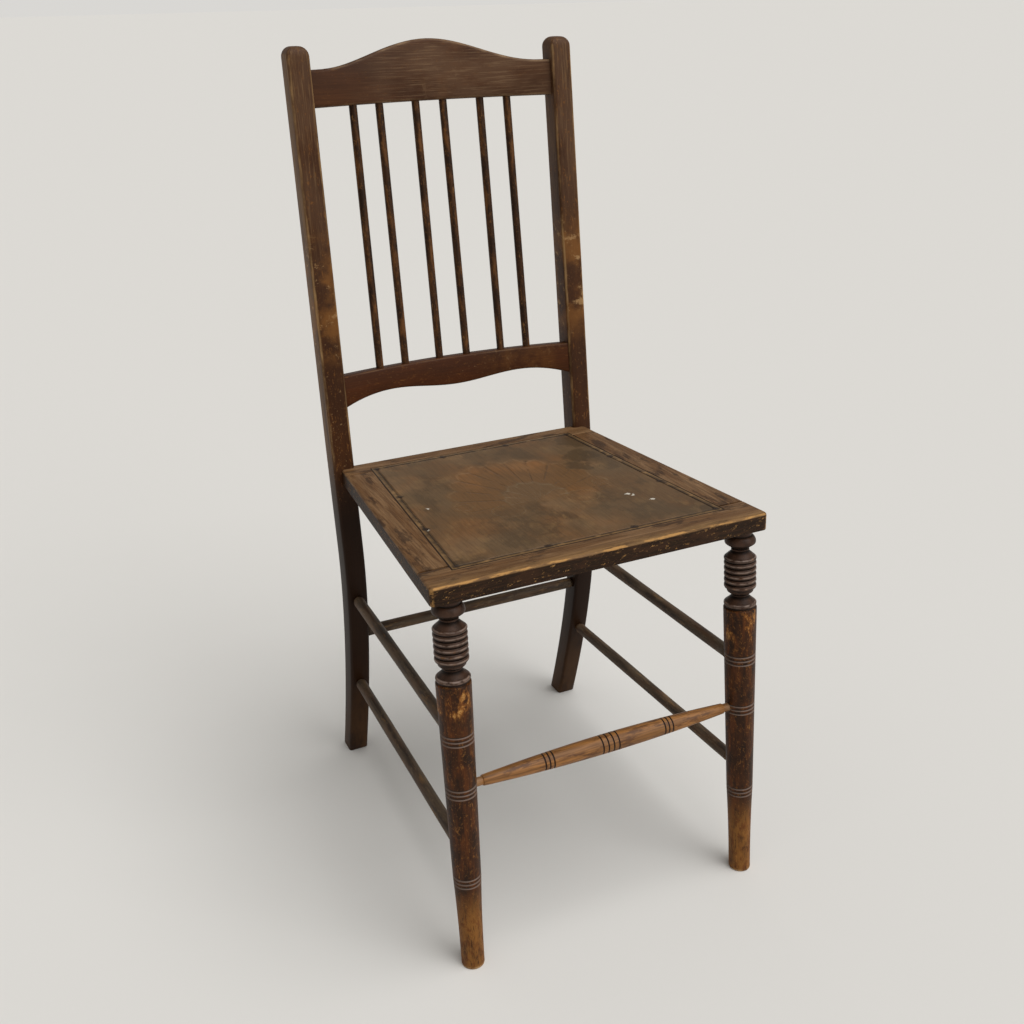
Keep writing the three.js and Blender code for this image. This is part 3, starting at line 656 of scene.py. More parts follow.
@dataclass(frozen=True)
class SawnStain:
    """Beech or birch, planed and stained dark reddish brown, under old shellac.

    A century of hands has rubbed the stain off the arrises in thin ragged lines, and left
    fine scratches, thin patches and a greyish bloom on the broad faces. Heights are along
    the piece: up a post from the floor, or across the chair from its middle. Beech's pores
    are 0.1 mm wide, too fine to show, so the grain is drawn from 1.4 mm wide.
    """

    name: str = "shellacked dark stain on posts"
    half_thickness: float = 15.0
    arris: float = 4.0

    body: str = "462812"
    deep: str = "2b170b"
    bloom: str = "5c4330"
    thin: str = "7d5125"
    bare: str = "ab885c"
    pale_side: str = "7f603e"
    shadow: str = "170c05"
    foot: str = "4d3218"

    mottle: Patches = Patches((30.0, 30.0, 110.0), 0.5, 0.2, 4.0)
    pores: Patches = Patches((1.4, 1.4, 60.0), 0.52, 0.12, 4.0, 3.0)
    haze: Patches = Patches((26.0, 26.0, 60.0), 0.44, 0.16, 4.0, 7.0)
    pale_grain: Patches = Patches((1.6, 1.6, 46.0), 0.56, 0.06, 7.0, 8.0, 0.7)
    side_grain: Patches = Patches((2.4, 2.4, 70.0), 0.49, 0.08, 7.0, 41.0, 0.7)
    thin_patch: Patches = Patches((34.0, 34.0, 34.0), 0.53, 0.12, 8.0, 11.0, 0.6)
    bare_patch: Patches = Patches((24.0, 24.0, 14.0), 0.6, 0.03, 9.0, 13.0, 0.75)
    foot_patch: Patches = Patches((20.0, 20.0, 60.0), 0.42, 0.14, 7.0, 43.0, 0.65)
    chips: Patches = Patches((3.2, 3.2, 5.0), 0.635, 0.02, 6.0, 23.0, 0.8, 0.5)
    scratches: Patches = Patches((3.0, 3.0, 9.0), 0.6, 0.03, 6.0, 27.0, 0.8)
    ragged_edge: Patches = Patches((5.0, 5.0, 36.0), 0.5, 0.3, 6.0, 31.0, 0.65)
    broken_edge: Patches = Patches((30.0, 30.0, 60.0), 0.46, 0.12, 6.0, 37.0, 0.6)

    line: float = 0.78
    line_zone: Band = Band(450.0, None, 25.0)
    line_width: float = 0.5
    line_soft: float = 0.16
    line_wander: float = 0.3
    bloom_zone: Band = Band(700.0, None, 120.0)
    bloom_strength: float = 0.5
    rubbed: Band = Band(560.0, 690.0, 30.0)
    rub_strength: float = 0.8
    scuffs: float = 0.6
    chip_zone: Band = Band(None, 700.0, 120.0)
    # Painted shade below the seat, where the seat shades the posts.
    shade_zone: Band = Band(None, 405.0, 50.0)
    shade: float = 0.76
    side_paling: float = 0.0
    side_face: Band = Band(None, 0.6, 0.4)
    side_zone: Band = Band(440.0, None, 60.0)
    # Strength of warm patches near the floor that cover the painted shade again.
    foot_out_of_shade: float = 0.0
    foot_zone: Band = Band(None, 90.0, 90.0)

    def material(self) -> bpy.types.Material:
        """Lay the finish coat by coat.

        Returns:
            The material.
        """
        surface = Surface(self.name, self.body, 0.46)
        coat = surface.coat
        first, second, depth = surface.marked("rim")

        coat(self.deep, 0.42, self.mottle, strength=0.6)
        coat(self.deep, 0.5, self.pores, strength=0.3, rise=-0.03)
        coat(self.bloom, 0.55, self.bloom_zone, self.haze, strength=self.bloom_strength)
        faint = self.bloom_strength * 0.35
        coat(self.bare, 0.55, self.bloom_zone, self.pale_grain, strength=faint)
        # The outer side faces are paler above the seat.
        if self.side_paling:
            face = self.side_face.mask(surface.tree, first)
            coat(self.pale_side, 0.55, face, self.side_zone, self.side_grain, strength=self.side_paling)
        coat(self.thin, 0.5, self.rubbed, self.thin_patch, strength=self.rub_strength * 0.85)
        coat(self.bare, 0.55, self.rubbed, self.bare_patch, strength=self.rub_strength * 0.75)
        # Painted shade: the posts are darker below the seat, where the seat shades them.
        coat(self.shadow, 0.5, self.shade_zone, strength=self.shade)
        # Near the floor, warm patches cover the painted shade again.
        if self.foot_out_of_shade:
            coat(self.foot, 0.55, self.foot_zone, self.foot_patch, strength=self.foot_out_of_shade)

        lit = Band(self.shade_zone.high, None, 40.0)
        coat(self.bare, 0.6, lit, self.chip_zone, self.chips, strength=self.scuffs, rise=-0.04)
        coat(self.thin, 0.6, lit, self.scratches, strength=self.scuffs, rise=-0.03)
        arris = self.arris_mask(surface, first, second, depth)
        coat(self.bare, 0.5, arris, self.broken_edge, self.line_zone, strength=self.line)
        return surface.close(Specular_IOR_Level=0.12)

    def arris_mask(self, surface: Surface, first: Source, second: Source, depth: Source) -> Source:
        """Draw the thin ragged line where the stain is rubbed off an arris.

        Args:
            surface: The finish that it is drawn in.
            first: Distance from one side of the piece.
            second: Distance from the other side.
            depth: Distance from the middle of its thickness.

        Returns:
            A mask that is 1 on the line.
        """
        tree = surface.tree
        side = add(tree, MATH, {0: first, 1: second}, operation="MINIMUM")
        deep = add(tree, MATH, {0: depth}, operation="ABSOLUTE")
        inside = add(tree, MATH, {0: self.half_thickness, 1: deep}, operation="SUBTRACT")
        distance = add(tree, MATH, {0: side, 1: inside}, operation="ADD")
        ragged = self.ragged_edge.mask(tree, surface.work)
        wander = -self.line_wander * self.arris
        reach = add(tree, MATH, {0: ragged, 1: wander, 2: distance}, operation="MULTIPLY_ADD")
        return Band(None, self.line_width * self.arris, self.line_soft * self.arris).mask(tree, reach)


@dataclass(frozen=True)
class TurnedStain:
    """Turned beech with thick old stain in its grooves and the column scuffed to the wood.

    Painted highlights lie on the upper side of the beads' crests and on the lit side of the
    column's grooves, and painted shade under the beads. The grooves are darkened with old
    stain and painted shade, and the foot is pale where shoes took the stain off. Heights
    are along the piece from its foot. Its marks say how far a place stands out of its
    surroundings and how fast it thickens upwards.
    The grain is drawn about 1.5 mm wide, because real pores are too fine to show.
    """

    name: str = "scuffed stain on turned legs"
    body: str = "3a1f0c"
    deep: str = "1d1007"
    warm: str = "5e3211"
    bare: str = "a06a30"
    fleck: str = "8f5f2a"
    foot: str = "855725"
    sole: str = "a98a60"
    scuff: str = "86511f"
    scuff_core: str = "b98a4c"
    rings: str = "432f24"
    # Colour of the painted highlights on the beads' crests and the grooves' lit sides.
    crest: str = "937f73"
    # Painted shade with old stain, for the grooves and the beads' undersides.
    darkening: str = "150c06"

    glow: Patches = Patches((8.0, 8.0, 36.0), 0.53, 0.1, 8.0, 0.0, 0.65)
    mottle: Patches = Patches((9.0, 9.0, 26.0), 0.52, 0.1, 5.0, 5.0)
    pores: Patches = Patches((1.5, 1.5, 26.0), 0.53, 0.1, 4.0, 9.0)
    foot_patch: Patches = Patches((9.0, 9.0, 24.0), 0.4, 0.14, 7.0, 13.0, 0.65)
    foot_glow: Patches = Patches((5.0, 5.0, 12.0), 0.54, 0.06, 7.0, 14.0, 0.7)
    foot_cuts: Patches = Patches((1.2, 1.2, 9.0), 0.6, 0.05, 5.0, 15.0)
    sole_patch: Patches = Patches((5.0, 5.0, 5.0), 0.42, 0.1, 4.0, 16.0)
    scuff_patch: Patches = Patches((11.0, 11.0, 22.0), 0.535, 0.05, 8.0, 17.0, 0.75)
    scuff_middle: Patches = Patches((11.0, 11.0, 22.0), 0.585, 0.025, 9.0, 17.0, 0.8)
    streak_patch: Patches = Patches((6.0, 6.0, 17.0), 0.615, 0.02, 7.0, 21.0, 0.8)
    nick_patch: Patches = Patches((2.6, 2.6, 5.0), 0.59, 0.03, 6.0, 25.0, 0.8, 0.6)
    ring_patch: Patches = Patches((7.0, 7.0, 7.0), 0.52, 0.12, 4.0, 28.0)
    broken_crest: Patches = Patches((7.0, 7.0, 3.0), 0.46, 0.14, 4.0, 29.0)
    chipped_crest: Patches = Patches((6.0, 6.0, 4.0), 0.6, 0.04, 6.0, 30.0, 0.7)

    ring_zone: Band = Band(337.5, None, 0.8)
    lit_zone: Band = Band(337.5, 405.0, 0.8)
    scuffed: Band = Band(303.0, 337.0, 8.0)
    column_zone: Band = Band(None, 325.0, 4.0)
    foot_zone: Band = Band(None, 82.0, 24.0)
    sole_zone: Band = Band(None, 2.0, 0.6)
    streaks: float = 0.52
    nicks: float = 0.45

    def material(self) -> bpy.types.Material:
        """Lay the finish coat by coat.

        Returns:
            The material.
        """
        surface = Surface(self.name, self.body, 0.44)
        coat = surface.coat
        coat(self.warm, 0.46, self.glow, strength=0.75)
        coat(self.deep, 0.4, self.mottle, strength=0.7)
        coat(self.deep, 0.5, self.pores, strength=0.35, rise=-0.03)
        coat(self.foot, 0.55, self.foot_zone, self.foot_patch, strength=0.85)
        coat(self.warm, 0.6, self.foot_zone, self.foot_glow, strength=0.7)
        coat(self.deep, 0.6, self.foot_zone, self.foot_cuts, strength=0.6, rise=-0.05)
        coat(self.sole, 0.6, self.sole_zone, self.sole_patch, strength=0.7)

        coat(self.scuff, 0.55, self.scuffed, self.scuff_patch, strength=0.8)
        coat(self.scuff_core, 0.55, self.scuffed, self.scuff_middle, strength=0.85, rise=-0.06)
        coat(self.bare, 0.6, self.streak_patch, strength=self.streaks, rise=-0.05)
        coat(self.fleck, 0.6, self.nick_patch, strength=self.nicks, rise=-0.04)
        self.age_turning(surface)
        return surface.close(Specular_IOR_Level=0.15)

    def age_turning(self, surface: Surface) -> None:
        """Darken the grooves with old stain and painted shade, shade the beads' undersides, and paint
        highlights on the crests.

        Args:
            surface: The finish, with its coats of stain.
        """
        tree = surface.tree
        coat = surface.coat
        relief, growth, _ = surface.marked("relief")
        coat(self.rings, 0.42, self.ring_zone, strength=0.92)
        coat(self.deep, 0.5, self.ring_zone, self.ring_patch, strength=0.5)
        # The grooves are darkened with old stain and painted shade.
        groove = Band(None, -0.3, 0.3).mask(tree, relief)
        coat(self.darkening, 0.5, groove, self.column_zone, strength=0.95)
        deep_groove = Band(None, -0.6, 0.3).mask(tree, relief)
        coat(self.darkening, 0.5, deep_groove, self.ring_zone, strength=0.95)
        # Painted shade under the beads, where the outline faces downwards.
        underside = Band(0.3, None, 0.2).mask(tree, growth)
        coat(self.darkening, 0.5, underside, self.ring_zone, strength=0.7)
        # Painted highlight on the upward-facing side of the column's grooves.
        lip = Band(None, -0.12, 0.08).mask(tree, growth)
        coat(self.crest, 0.4, lip, self.column_zone, strength=0.5)
        # Painted highlight on the upper side of the beads' crests, with bare chips on it.
        proud = Band(0.36, 0.9, 0.1).mask(tree, relief)
        topside = Band(None, 0.1, 0.15).mask(tree, growth)
        bead = (proud, topside, self.lit_zone)
        coat(self.crest, 0.3, *bead, self.broken_crest, strength=0.6)
        coat(self.bare, 0.5, *bead, self.chipped_crest, strength=0.3)


@dataclass(frozen=True)
class RubbedBeech:
    """Beech whose stain was polished away by feet: bare, satin and warm.

    Dark wax is left in its cuts and its tenons are grey. The grain is drawn 1.4 mm wide,
    because real pores are too fine to show.
    """

    name: str = "foot-polished beech"
    body: str = "7a5229"
    warm: str = "a57039"
    deep: str = "4f2f18"
    cut: str = "24150d"
    tenon: str = "8d7a64"

    glow: Patches = Patches((6.0, 6.0, 70.0), 0.5, 0.16, 4.0)
    pores: Patches = Patches((1.4, 1.4, 30.0), 0.53, 0.1, 4.0, 9.0)
    left_stain: Patches = Patches((6.0, 6.0, 26.0), 0.57, 0.05, 7.0, 15.0, 0.7)
    dents: Patches = Patches((5.0, 5.0, 12.0), 0.66, 0.02, 8.0, 21.0, 0.8, 0.4)
    wax: Band = Band(None, 0.84, 0.08)

    def material(self) -> bpy.types.Material:
        """Lay the finish coat by coat.

        Returns:
            The material.
        """
        surface = Surface(self.name, self.body, 0.46)
        coat = surface.coat
        _, on_tenon, from_cut = surface.marked("relief")
        coat(self.warm, 0.42, self.glow, strength=0.7)
        coat(self.deep, 0.55, self.pores, strength=0.5, rise=-0.03)
        coat(self.deep, 0.45, self.left_stain, strength=0.75)
        coat(self.cut, 0.6, self.dents, strength=0.7, rise=-0.05)
        coat(self.cut, 0.6, self.wax.mask(surface.tree, from_cut))
        coat(self.tenon, 0.6, on_tenon, strength=0.85)
        return surface.close(Specular_IOR_Level=0.3)


@dataclass(frozen=True)
class DullStain:
    """Plain turned dowel whose brown stain has gone grey and dusty, with bare shoulders.

    The grain is drawn 1.6 mm wide, because real pores are too fine to show.
    """

    name: str = "greyed stain on dowels"
    body: str = "3f3125"
    deep: str = "261a12"
    dust: str = "6d5c48"
    warm: str = "5c3e28"
    bare: str = "85643c"

    mottle: Patches = Patches((10.0, 10.0, 60.0), 0.52, 0.14, 4.0)
    glow: Patches = Patches((8.0, 8.0, 46.0), 0.54, 0.1, 4.0, 5.0)
    pores: Patches = Patches((1.6, 1.6, 36.0), 0.53, 0.1, 4.0, 9.0)
    haze: Patches = Patches((7.0, 7.0, 60.0), 0.5, 0.12, 6.0, 13.0, 0.6)
    smears: Patches = Patches((5.0, 5.0, 16.0), 0.58, 0.04, 8.0, 15.0, 0.8)
    rubs: Patches = Patches((6.0, 6.0, 34.0), 0.6, 0.04, 8.0, 16.0, 0.75)
    shoulder_rubs: Patches = Patches((4.0, 4.0, 4.0), 0.45, 0.1, 4.0, 17.0)

    def material(self) -> bpy.types.Material:
        """Lay the finish coat by coat.

        Returns:
            The material.
        """
        surface = Surface(self.name, self.body, 0.5)
        coat = surface.coat
        shoulder = surface.marked("relief")[1]
        coat(self.deep, 0.45, self.mottle, strength=0.6)
        coat(self.warm, 0.45, self.glow, strength=0.6)
        coat(self.deep, 0.55, self.pores, strength=0.4, rise=-0.03)
        coat(self.dust, 0.7, self.haze, strength=0.4)
        coat(self.dust, 0.7, self.smears, strength=0.6)
        coat(self.bare, 0.6, self.rubs, strength=0.5)
        coat(self.bare, 0.6, shoulder, self.shoulder_rubs, strength=0.6)
        return surface.close(Specular_IOR_Level=0.2)


@dataclass(frozen=True)
class SeatRailStain:
    """Seat frame stain: dark and chipped on the edges, rubbed golden on the front arris.

    The open grain of the rails' tops shows as dark streaks. They are drawn 2 mm wide,
    because the real ones are too fine to show.
    """

    name: str = "rubbed stain on front and back rails"
    along_side: bool = False
    top: str = "6a4b2e"
    streak: str = "3d2717"
    pale: str = "876848"
    warm: str = "8c6b43"
    edge: str = "1c1008"
    edge_light: str = "3c2617"
    bare: str = "b98a50"
    darkening: str = "31231a"

    bands: Patches = Patches((9.0, 9.0, 90.0), 0.5, 0.1, 6.0, 0.0, 0.6)
    streaks: Patches = Patches((2.0, 2.0, 54.0), 0.5, 0.07, 7.0, 9.0, 0.7)
    grime_patch: Patches = Patches((14.0, 14.0, 44.0), 0.57, 0.05, 6.0, 15.0, 0.65)
    front_rubs: Patches = Patches((6.0, 6.0, 34.0), 0.46, 0.1, 7.0, 16.0, 0.7)
    edge_haze: Patches = Patches((9.0, 9.0, 40.0), 0.54, 0.06, 6.0, 17.0, 0.65)
    edge_grain: Patches = Patches((2.0, 2.0, 22.0), 0.55, 0.05, 6.0, 21.0, 0.7)
    edge_chips: Patches = Patches((4.0, 3.4, 9.0), 0.6, 0.02, 8.0, 23.0, 0.85, 0.25)
    ragged_edge: Patches = Patches((6.0, 6.0, 30.0), 0.5, 0.25, 7.0, 31.0, 0.7)
    corner_rubs: Patches = Patches((5.0, 5.0, 9.0), 0.47, 0.06, 6.0, 33.0, 0.7)

    front_zone: Band = Band(None, 9.0, 6.0)
    edge_zone: Band = Band(2.4, None, 0.8)
    arris: Band = Band(None, 0.7, 0.4)
    corner: Band = Band(None, 4.0, 1.0)
    side_wander: float = 1.2
    front_wander: float = 2.4

    def material(self) -> bpy.types.Material:
        """Lay the finish coat by coat.

        Returns:
            The material.
        """
        surface = Surface(self.name, self.top, 0.5)
        coat = surface.coat
        tree = surface.tree
        from_front, from_side, below = surface.marked("rim")

        coat(self.pale, 0.5, self.bands, strength=0.7)
        coat(self.streak, 0.55, self.streaks, strength=0.5, rise=-0.05)
        coat(self.darkening, 0.6, self.grime_patch, strength=0.7)
        if not self.along_side:
            near = self.front_zone.mask(tree, from_front)
            coat(self.warm, 0.48, near, self.front_rubs, strength=0.65)

        edge = self.edge_zone.mask(tree, below)
        coat(self.edge, 0.55, edge, strength=0.96)
        coat(self.edge_light, 0.55, edge, self.edge_haze, strength=0.6)
        coat(self.edge_light, 0.6, edge, self.edge_grain, strength=0.7)
        coat(self.bare, 0.6, edge, self.edge_chips, strength=0.75, rise=-0.05)

        nearest = from_side if self.along_side else from_front
        wander = -self.side_wander if self.along_side else -self.front_wander
        distance = add(tree, MATH, {0: nearest, 1: below}, operation="ADD")
        ragged = self.ragged_edge.mask(tree, surface.work)
        reach = add(tree, MATH, {0: ragged, 1: wander, 2: distance}, operation="MULTIPLY_ADD")
        rubbed = self.arris.mask(tree, reach)
        coat(self.bare, 0.5, rubbed, strength=0.4 if self.along_side else 0.85)
        corner = add(tree, MATH, {0: from_front, 1: from_side}, operation="ADD")
        coat(self.bare, 0.5, self.corner.mask(tree, corner), self.corner_rubs, strength=0.7)
        return surface.close(Specular_IOR_Level=0.12)


@dataclass(frozen=True)
class PressedPly:
    """Three-ply seat panel, pressed with a traditional shell and stained with the frame.

    The relief is a few tenths of a millimetre deep and has held the warm stain, while the
    field around it has gone grey. Sizes are in millimetres in the seat's plane. The grain
    is drawn 1.4 mm wide, because real pores are too fine to show.
    """

    name: str = "pressed and stained plywood"
    plain: str = "714e2c"
    grey: str = "755b3f"
    warm: str = "80552a"
    deep: str = "3a2713"
    pale: str = "8a6a42"
    line: str = "1f140b"
    paint: str = "c9c2b4"
    margin: str = "4a3c28"
    tip: str = "95714a"
    inner_line: str = "97805f"

    blur: float = 0.09
    shell_centre: tuple[float, float] = (0.0, 157.0)
    shell_reach: float = 136.0
    shell_share: float = 0.68
    petals: int = 11
    inner_reach: float = 55.0
    inner_petals: int = 7
    scallop: float = 0.04
    scroll_line: float = 2.6
    nail_halo: float = 4.2
    scrolls: Spots = ((-83.0, 173.0, 10.0), (83.0, 173.0, 10.0), (-45.0, 141.0, 19.0), (45.0, 141.0, 19.0))
    nail_places: tuple[tuple[float, float], ...] = ()
    paint_drops: Spots = ((91.0, 121.0, 2.6), (94.0, 116.0, 1.6), (106.0, 95.0, 2.0))
    paint_specks: Spots = ((-119.0, 191.0, 1.6), (-140.0, 134.0, 0.8))
    side_blotches: Spots = ((132.0, 318.0, 30.0), (104.0, 262.0, 20.0), (86.0, 228.0, 15.0))
    corner_blotches: Spots = ((-150.0, 40.0, 14.0), (146.0, 40.0, 14.0))

    haze: Patches = Patches((90.0, 90.0, 90.0), 0.5, 0.1, 7.0, 0.0, 0.6)
    dark_clouds: Patches = Patches((40.0, 60.0, 40.0), 0.55, 0.06, 8.0, 5.0, 0.65)
    pale_clouds: Patches = Patches((24.0, 36.0, 24.0), 0.57, 0.06, 8.0, 6.0, 0.7)
    held_stain: Patches = Patches((60.0, 60.0, 60.0), 0.32, 0.12, 6.0, 4.0)
    kept: Patches = Patches((30.0, 30.0, 30.0), 0.47, 0.08, 7.0, 8.0, 0.65)
    worn: Patches = Patches((9.0, 9.0, 9.0), 0.48, 0.1, 6.0, 12.0, 0.7)
    pores: Patches = Patches((1.4, 30.0, 4.0), 0.54, 0.1, 4.0, 11.0)
    stains: Patches = Patches((22.0, 30.0, 22.0), 0.65, 0.02, 9.0, 19.0, 0.75)
    scratches: Patches = Patches((5.0, 90.0, 5.0), 0.64, 0.02, 8.0, 21.0, 0.75, 0.25)
    margin_patch: Patches = Patches((60.0, 60.0, 60.0), 0.42, 0.12, 6.0, 22.0)
    border_patch: Patches = Patches((8.0, 8.0, 8.0), 0.42, 0.12, 4.0, 26.0)
    line_patch: Patches = Patches((14.0, 14.0, 14.0), 0.4, 0.1, 4.0, 27.0)

    margin_zone: Band = Band(None, 34.0, 24.0)
    border_zone: Band = Band(1.8, 6.0, 0.8)
    joint_zone: Band = Band(None, 1.7, 0.5)

    def fan(
        self, surface: Surface, across: Source, back: Source, reach: float, petals: int
    ) -> tuple[Source, Source, Source]:
        """Draw one fan of petals that opens towards the back.

        Args:
            surface: The finish that it is drawn in.
            across: Place across the fan.
            back: Place back from its centre.
            reach: Length of its petals.
            petals: How many fill the half turn.

        Returns:
            Masks of its whole area, of its petals' rounded tips and of the lines between.
        """
        tree = surface.tree
        place = add(tree, "ShaderNodeCombineXYZ", {0: across, 1: back, 2: 0.0})
        radius = add(tree, "ShaderNodeVectorMath", {0: place}, operation="LENGTH").outputs["Value"]
        angle = add(tree, MATH, {0: across, 1: back}, operation="ARCTAN2")
        turn = add(tree, MATH, {0: angle, 1: 2.0 * petals}, operation="MULTIPLY")
        wave = add(tree, MATH, {0: turn}, operation="COSINE")
        depth = -self.scallop * reach
        scalloped = add(tree, MATH, {0: wave, 1: depth, 2: radius}, operation="MULTIPLY_ADD")
        front = Band(-4.0, None, 12.0).mask(tree, back)
        inside = Band(None, reach, self.blur * reach).mask(tree, scalloped)
        area = add(tree, MATH, {0: inside, 1: front}, operation="MULTIPLY")
        tips = Band(reach - 5.0, reach - 1.0, 1.8).mask(tree, scalloped)
        tips = add(tree, MATH, {0: tips, 1: front}, operation="MULTIPLY")
        lines = Band(None, -0.93, 0.06).mask(tree, wave)
        lines = add(tree, MATH, {0: lines, 1: area}, operation="MULTIPLY")
        return area, tips, lines

    def spots(
        self, surface: Surface, places: Sequence[Sequence[float]], ragged: float, ring: float = 0.0
    ) -> Source:
        """Draw small ragged spots or rings at places in the seat's plane.

        Args:
            surface: The finish that they are in.
            places: Each spot's x, y and radius.
            ragged: How far its edge wanders.
            ring: Thickness of its ring, or 0 for a full spot.

        Returns:
            A mask that is 1 on the spots.
        """
        tree = surface.tree
        finesse = {"Vector": surface.work, "Scale": 0.6 / max(1.0, ragged), "Detail": 4.0}
        noise = add(tree, "ShaderNodeTexNoise", finesse)
        total: Source | float = 0.0
        for x, y, radius in places:
            gap = add(
                tree, "ShaderNodeVectorMath", {0: surface.work, 1: (x, y, 0.0)}, operation="DISTANCE"
            ).outputs["Value"]
            edge = add(tree, MATH, {0: noise, 1: 4.0 * ragged, 2: gap}, operation="MULTIPLY_ADD")
            outer = radius + 2.0 * ragged
            band = Band(outer - ring if ring else None, outer, 0.25 * ragged + 0.4)
            total = add(tree, MATH, {0: total, 1: band.mask(tree, edge)}, operation="MAXIMUM")
        return total

    def press(self, surface: Surface) -> None:
        """Press the shell, with the smaller shell and the scrolls inside it.

        Args:
            surface: The finish, with its clouds of stain.
        """
        tree = surface.tree
        coat = surface.coat
        x, y, _ = surface.split(surface.work)
        shifted = add(tree, MATH, {0: x, 1: self.shell_centre[0]}, operation="SUBTRACT")
        across = add(tree, MATH, {0: shifted, 1: self.shell_share}, operation="DIVIDE")
        back = add(tree, MATH, {0: y, 1: self.shell_centre[1]}, operation="SUBTRACT")
        area, tips, lines = self.fan(surface, across, back, self.shell_reach, self.petals)
        inner, inner_tips, inner_lines = self.fan(
            surface, across, back, self.inner_reach, self.inner_petals
        )
        outside = add(tree, MATH, {0: 1.0, 1: inner}, operation="SUBTRACT")
        coat(self.warm, 0.46, area, self.held_stain, strength=0.85, rise=0.2)
        coat(self.tip, 0.42, tips, outside, self.worn, strength=0.6)
        coat(self.line, 0.55, lines, outside, self.kept, strength=0.35, rise=-0.25)
        coat(self.grey, 0.45, inner, strength=0.5, rise=0.15)
        coat(self.inner_line, 0.42, inner_tips, self.worn, strength=0.5)
        coat(self.inner_line, 0.5, inner_lines, self.kept, self.worn, strength=0.5, rise=-0.2)
        scrolls = self.spots(surface, self.scrolls, 0.3, self.scroll_line)
        coat(self.pale, 0.45, scrolls, self.worn, strength=0.45, rise=0.2)

    def material(self) -> bpy.types.Material:
        """Lay the finish coat by coat.

        Returns:
            The material.
        """
        surface = Surface(self.name, self.plain, 0.5)
        coat = surface.coat
        tree = surface.tree
        edge, on_line, _ = surface.marked("rim")
        coat(self.grey, 0.55, self.haze, strength=0.8)
        coat(self.deep, 0.45, self.dark_clouds, strength=0.5)
        coat(self.pale, 0.5, self.pale_clouds, strength=0.4)
        self.press(surface)

        blotches = self.spots(surface, self.side_blotches + self.corner_blotches, 9.0)
        coat(self.deep, 0.45, blotches, strength=0.6)
        coat(self.deep, 0.55, self.pores, strength=0.3, rise=-0.02)
        coat(self.line, 0.6, self.stains, strength=0.55)
        coat(self.pale, 0.6, self.scratches, strength=0.5)
        margin = self.margin_zone.mask(tree, edge)
        coat(self.margin, 0.5, margin, self.margin_patch, strength=0.5)
        border = self.border_zone.mask(tree, edge)
        coat(self.pale, 0.55, border, self.border_patch, strength=0.8)
        coat(self.line, 0.6, self.joint_zone.mask(tree, edge), strength=0.95)
        coat(self.line, 0.6, on_line, self.line_patch, strength=0.95)

        halos = [(*place, self.nail_halo) for place in self.nail_places]
        coat(self.line, 0.6, self.spots(surface, halos, 1.4), strength=0.7)
        paint = self.spots(surface, self.paint_drops + self.paint_specks, 2.4)
        coat(self.paint, 0.7, paint, rise=0.1)
        return surface.close(Specular_IOR_Level=0.22)


@dataclass(frozen=True)
class BluedIron:
    """Small cut nail heads, blued and browned with rust, dull but still metal."""

    name: str = "browned iron nail"
    body: str = "2a2320"
    rust: str = "4a3022"
    rust_patch: Patches = Patches((1.2, 1.2, 1.2), 0.52, 0.1, 3.0)

    def material(self) -> bpy.types.Material:
        """Lay the finish coat by coat.

        Returns:
            The material.
        """
        surface = Surface(self.name, self.body, 0.5)
        surface.coat(self.rust, 0.7, self.rust_patch, strength=0.7)
        return surface.close(Metallic=0.7)


@dataclass
class Trim:
    """Takes finished pieces from the bench into the chair."""

    count: int = 0
    smooth_below: float = math.radians(38.0)

    def fit(
        self,
        piece: Piece,
        finish: bpy.types.Material,
        slot: str,
        node: str,
        shift: float = 0.0,
    ) -> None:
        """Scale a piece into the frame, dress it and make it stand for its CAD node.

        Args:
            piece: The piece, in the chair's millimetres.
            finish: Its material.
            slot: The slot for that finish; not used.
            node: The CAD node that it replaces.
            shift: Distance that its pattern is moved along, so that no two look alike.
        """
        if shift:
            for value in piece.data.attributes["work"].data:
                value.vector = value.vector + Vector((shift, shift / 2, 0.0))
        settle(piece, LAYOUT.in_frame)
        piece.data.materials.clear()
        piece.data.materials.append(finish)
        make_active(piece)
        bpy.ops.object.shade_smooth_by_angle(angle=self.smooth_below)
        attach(piece, "root")
        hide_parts(node)
        self.count += 1
        log.info("%s: %d faces, in place of %s", piece.name, len(piece.data.polygons), node)


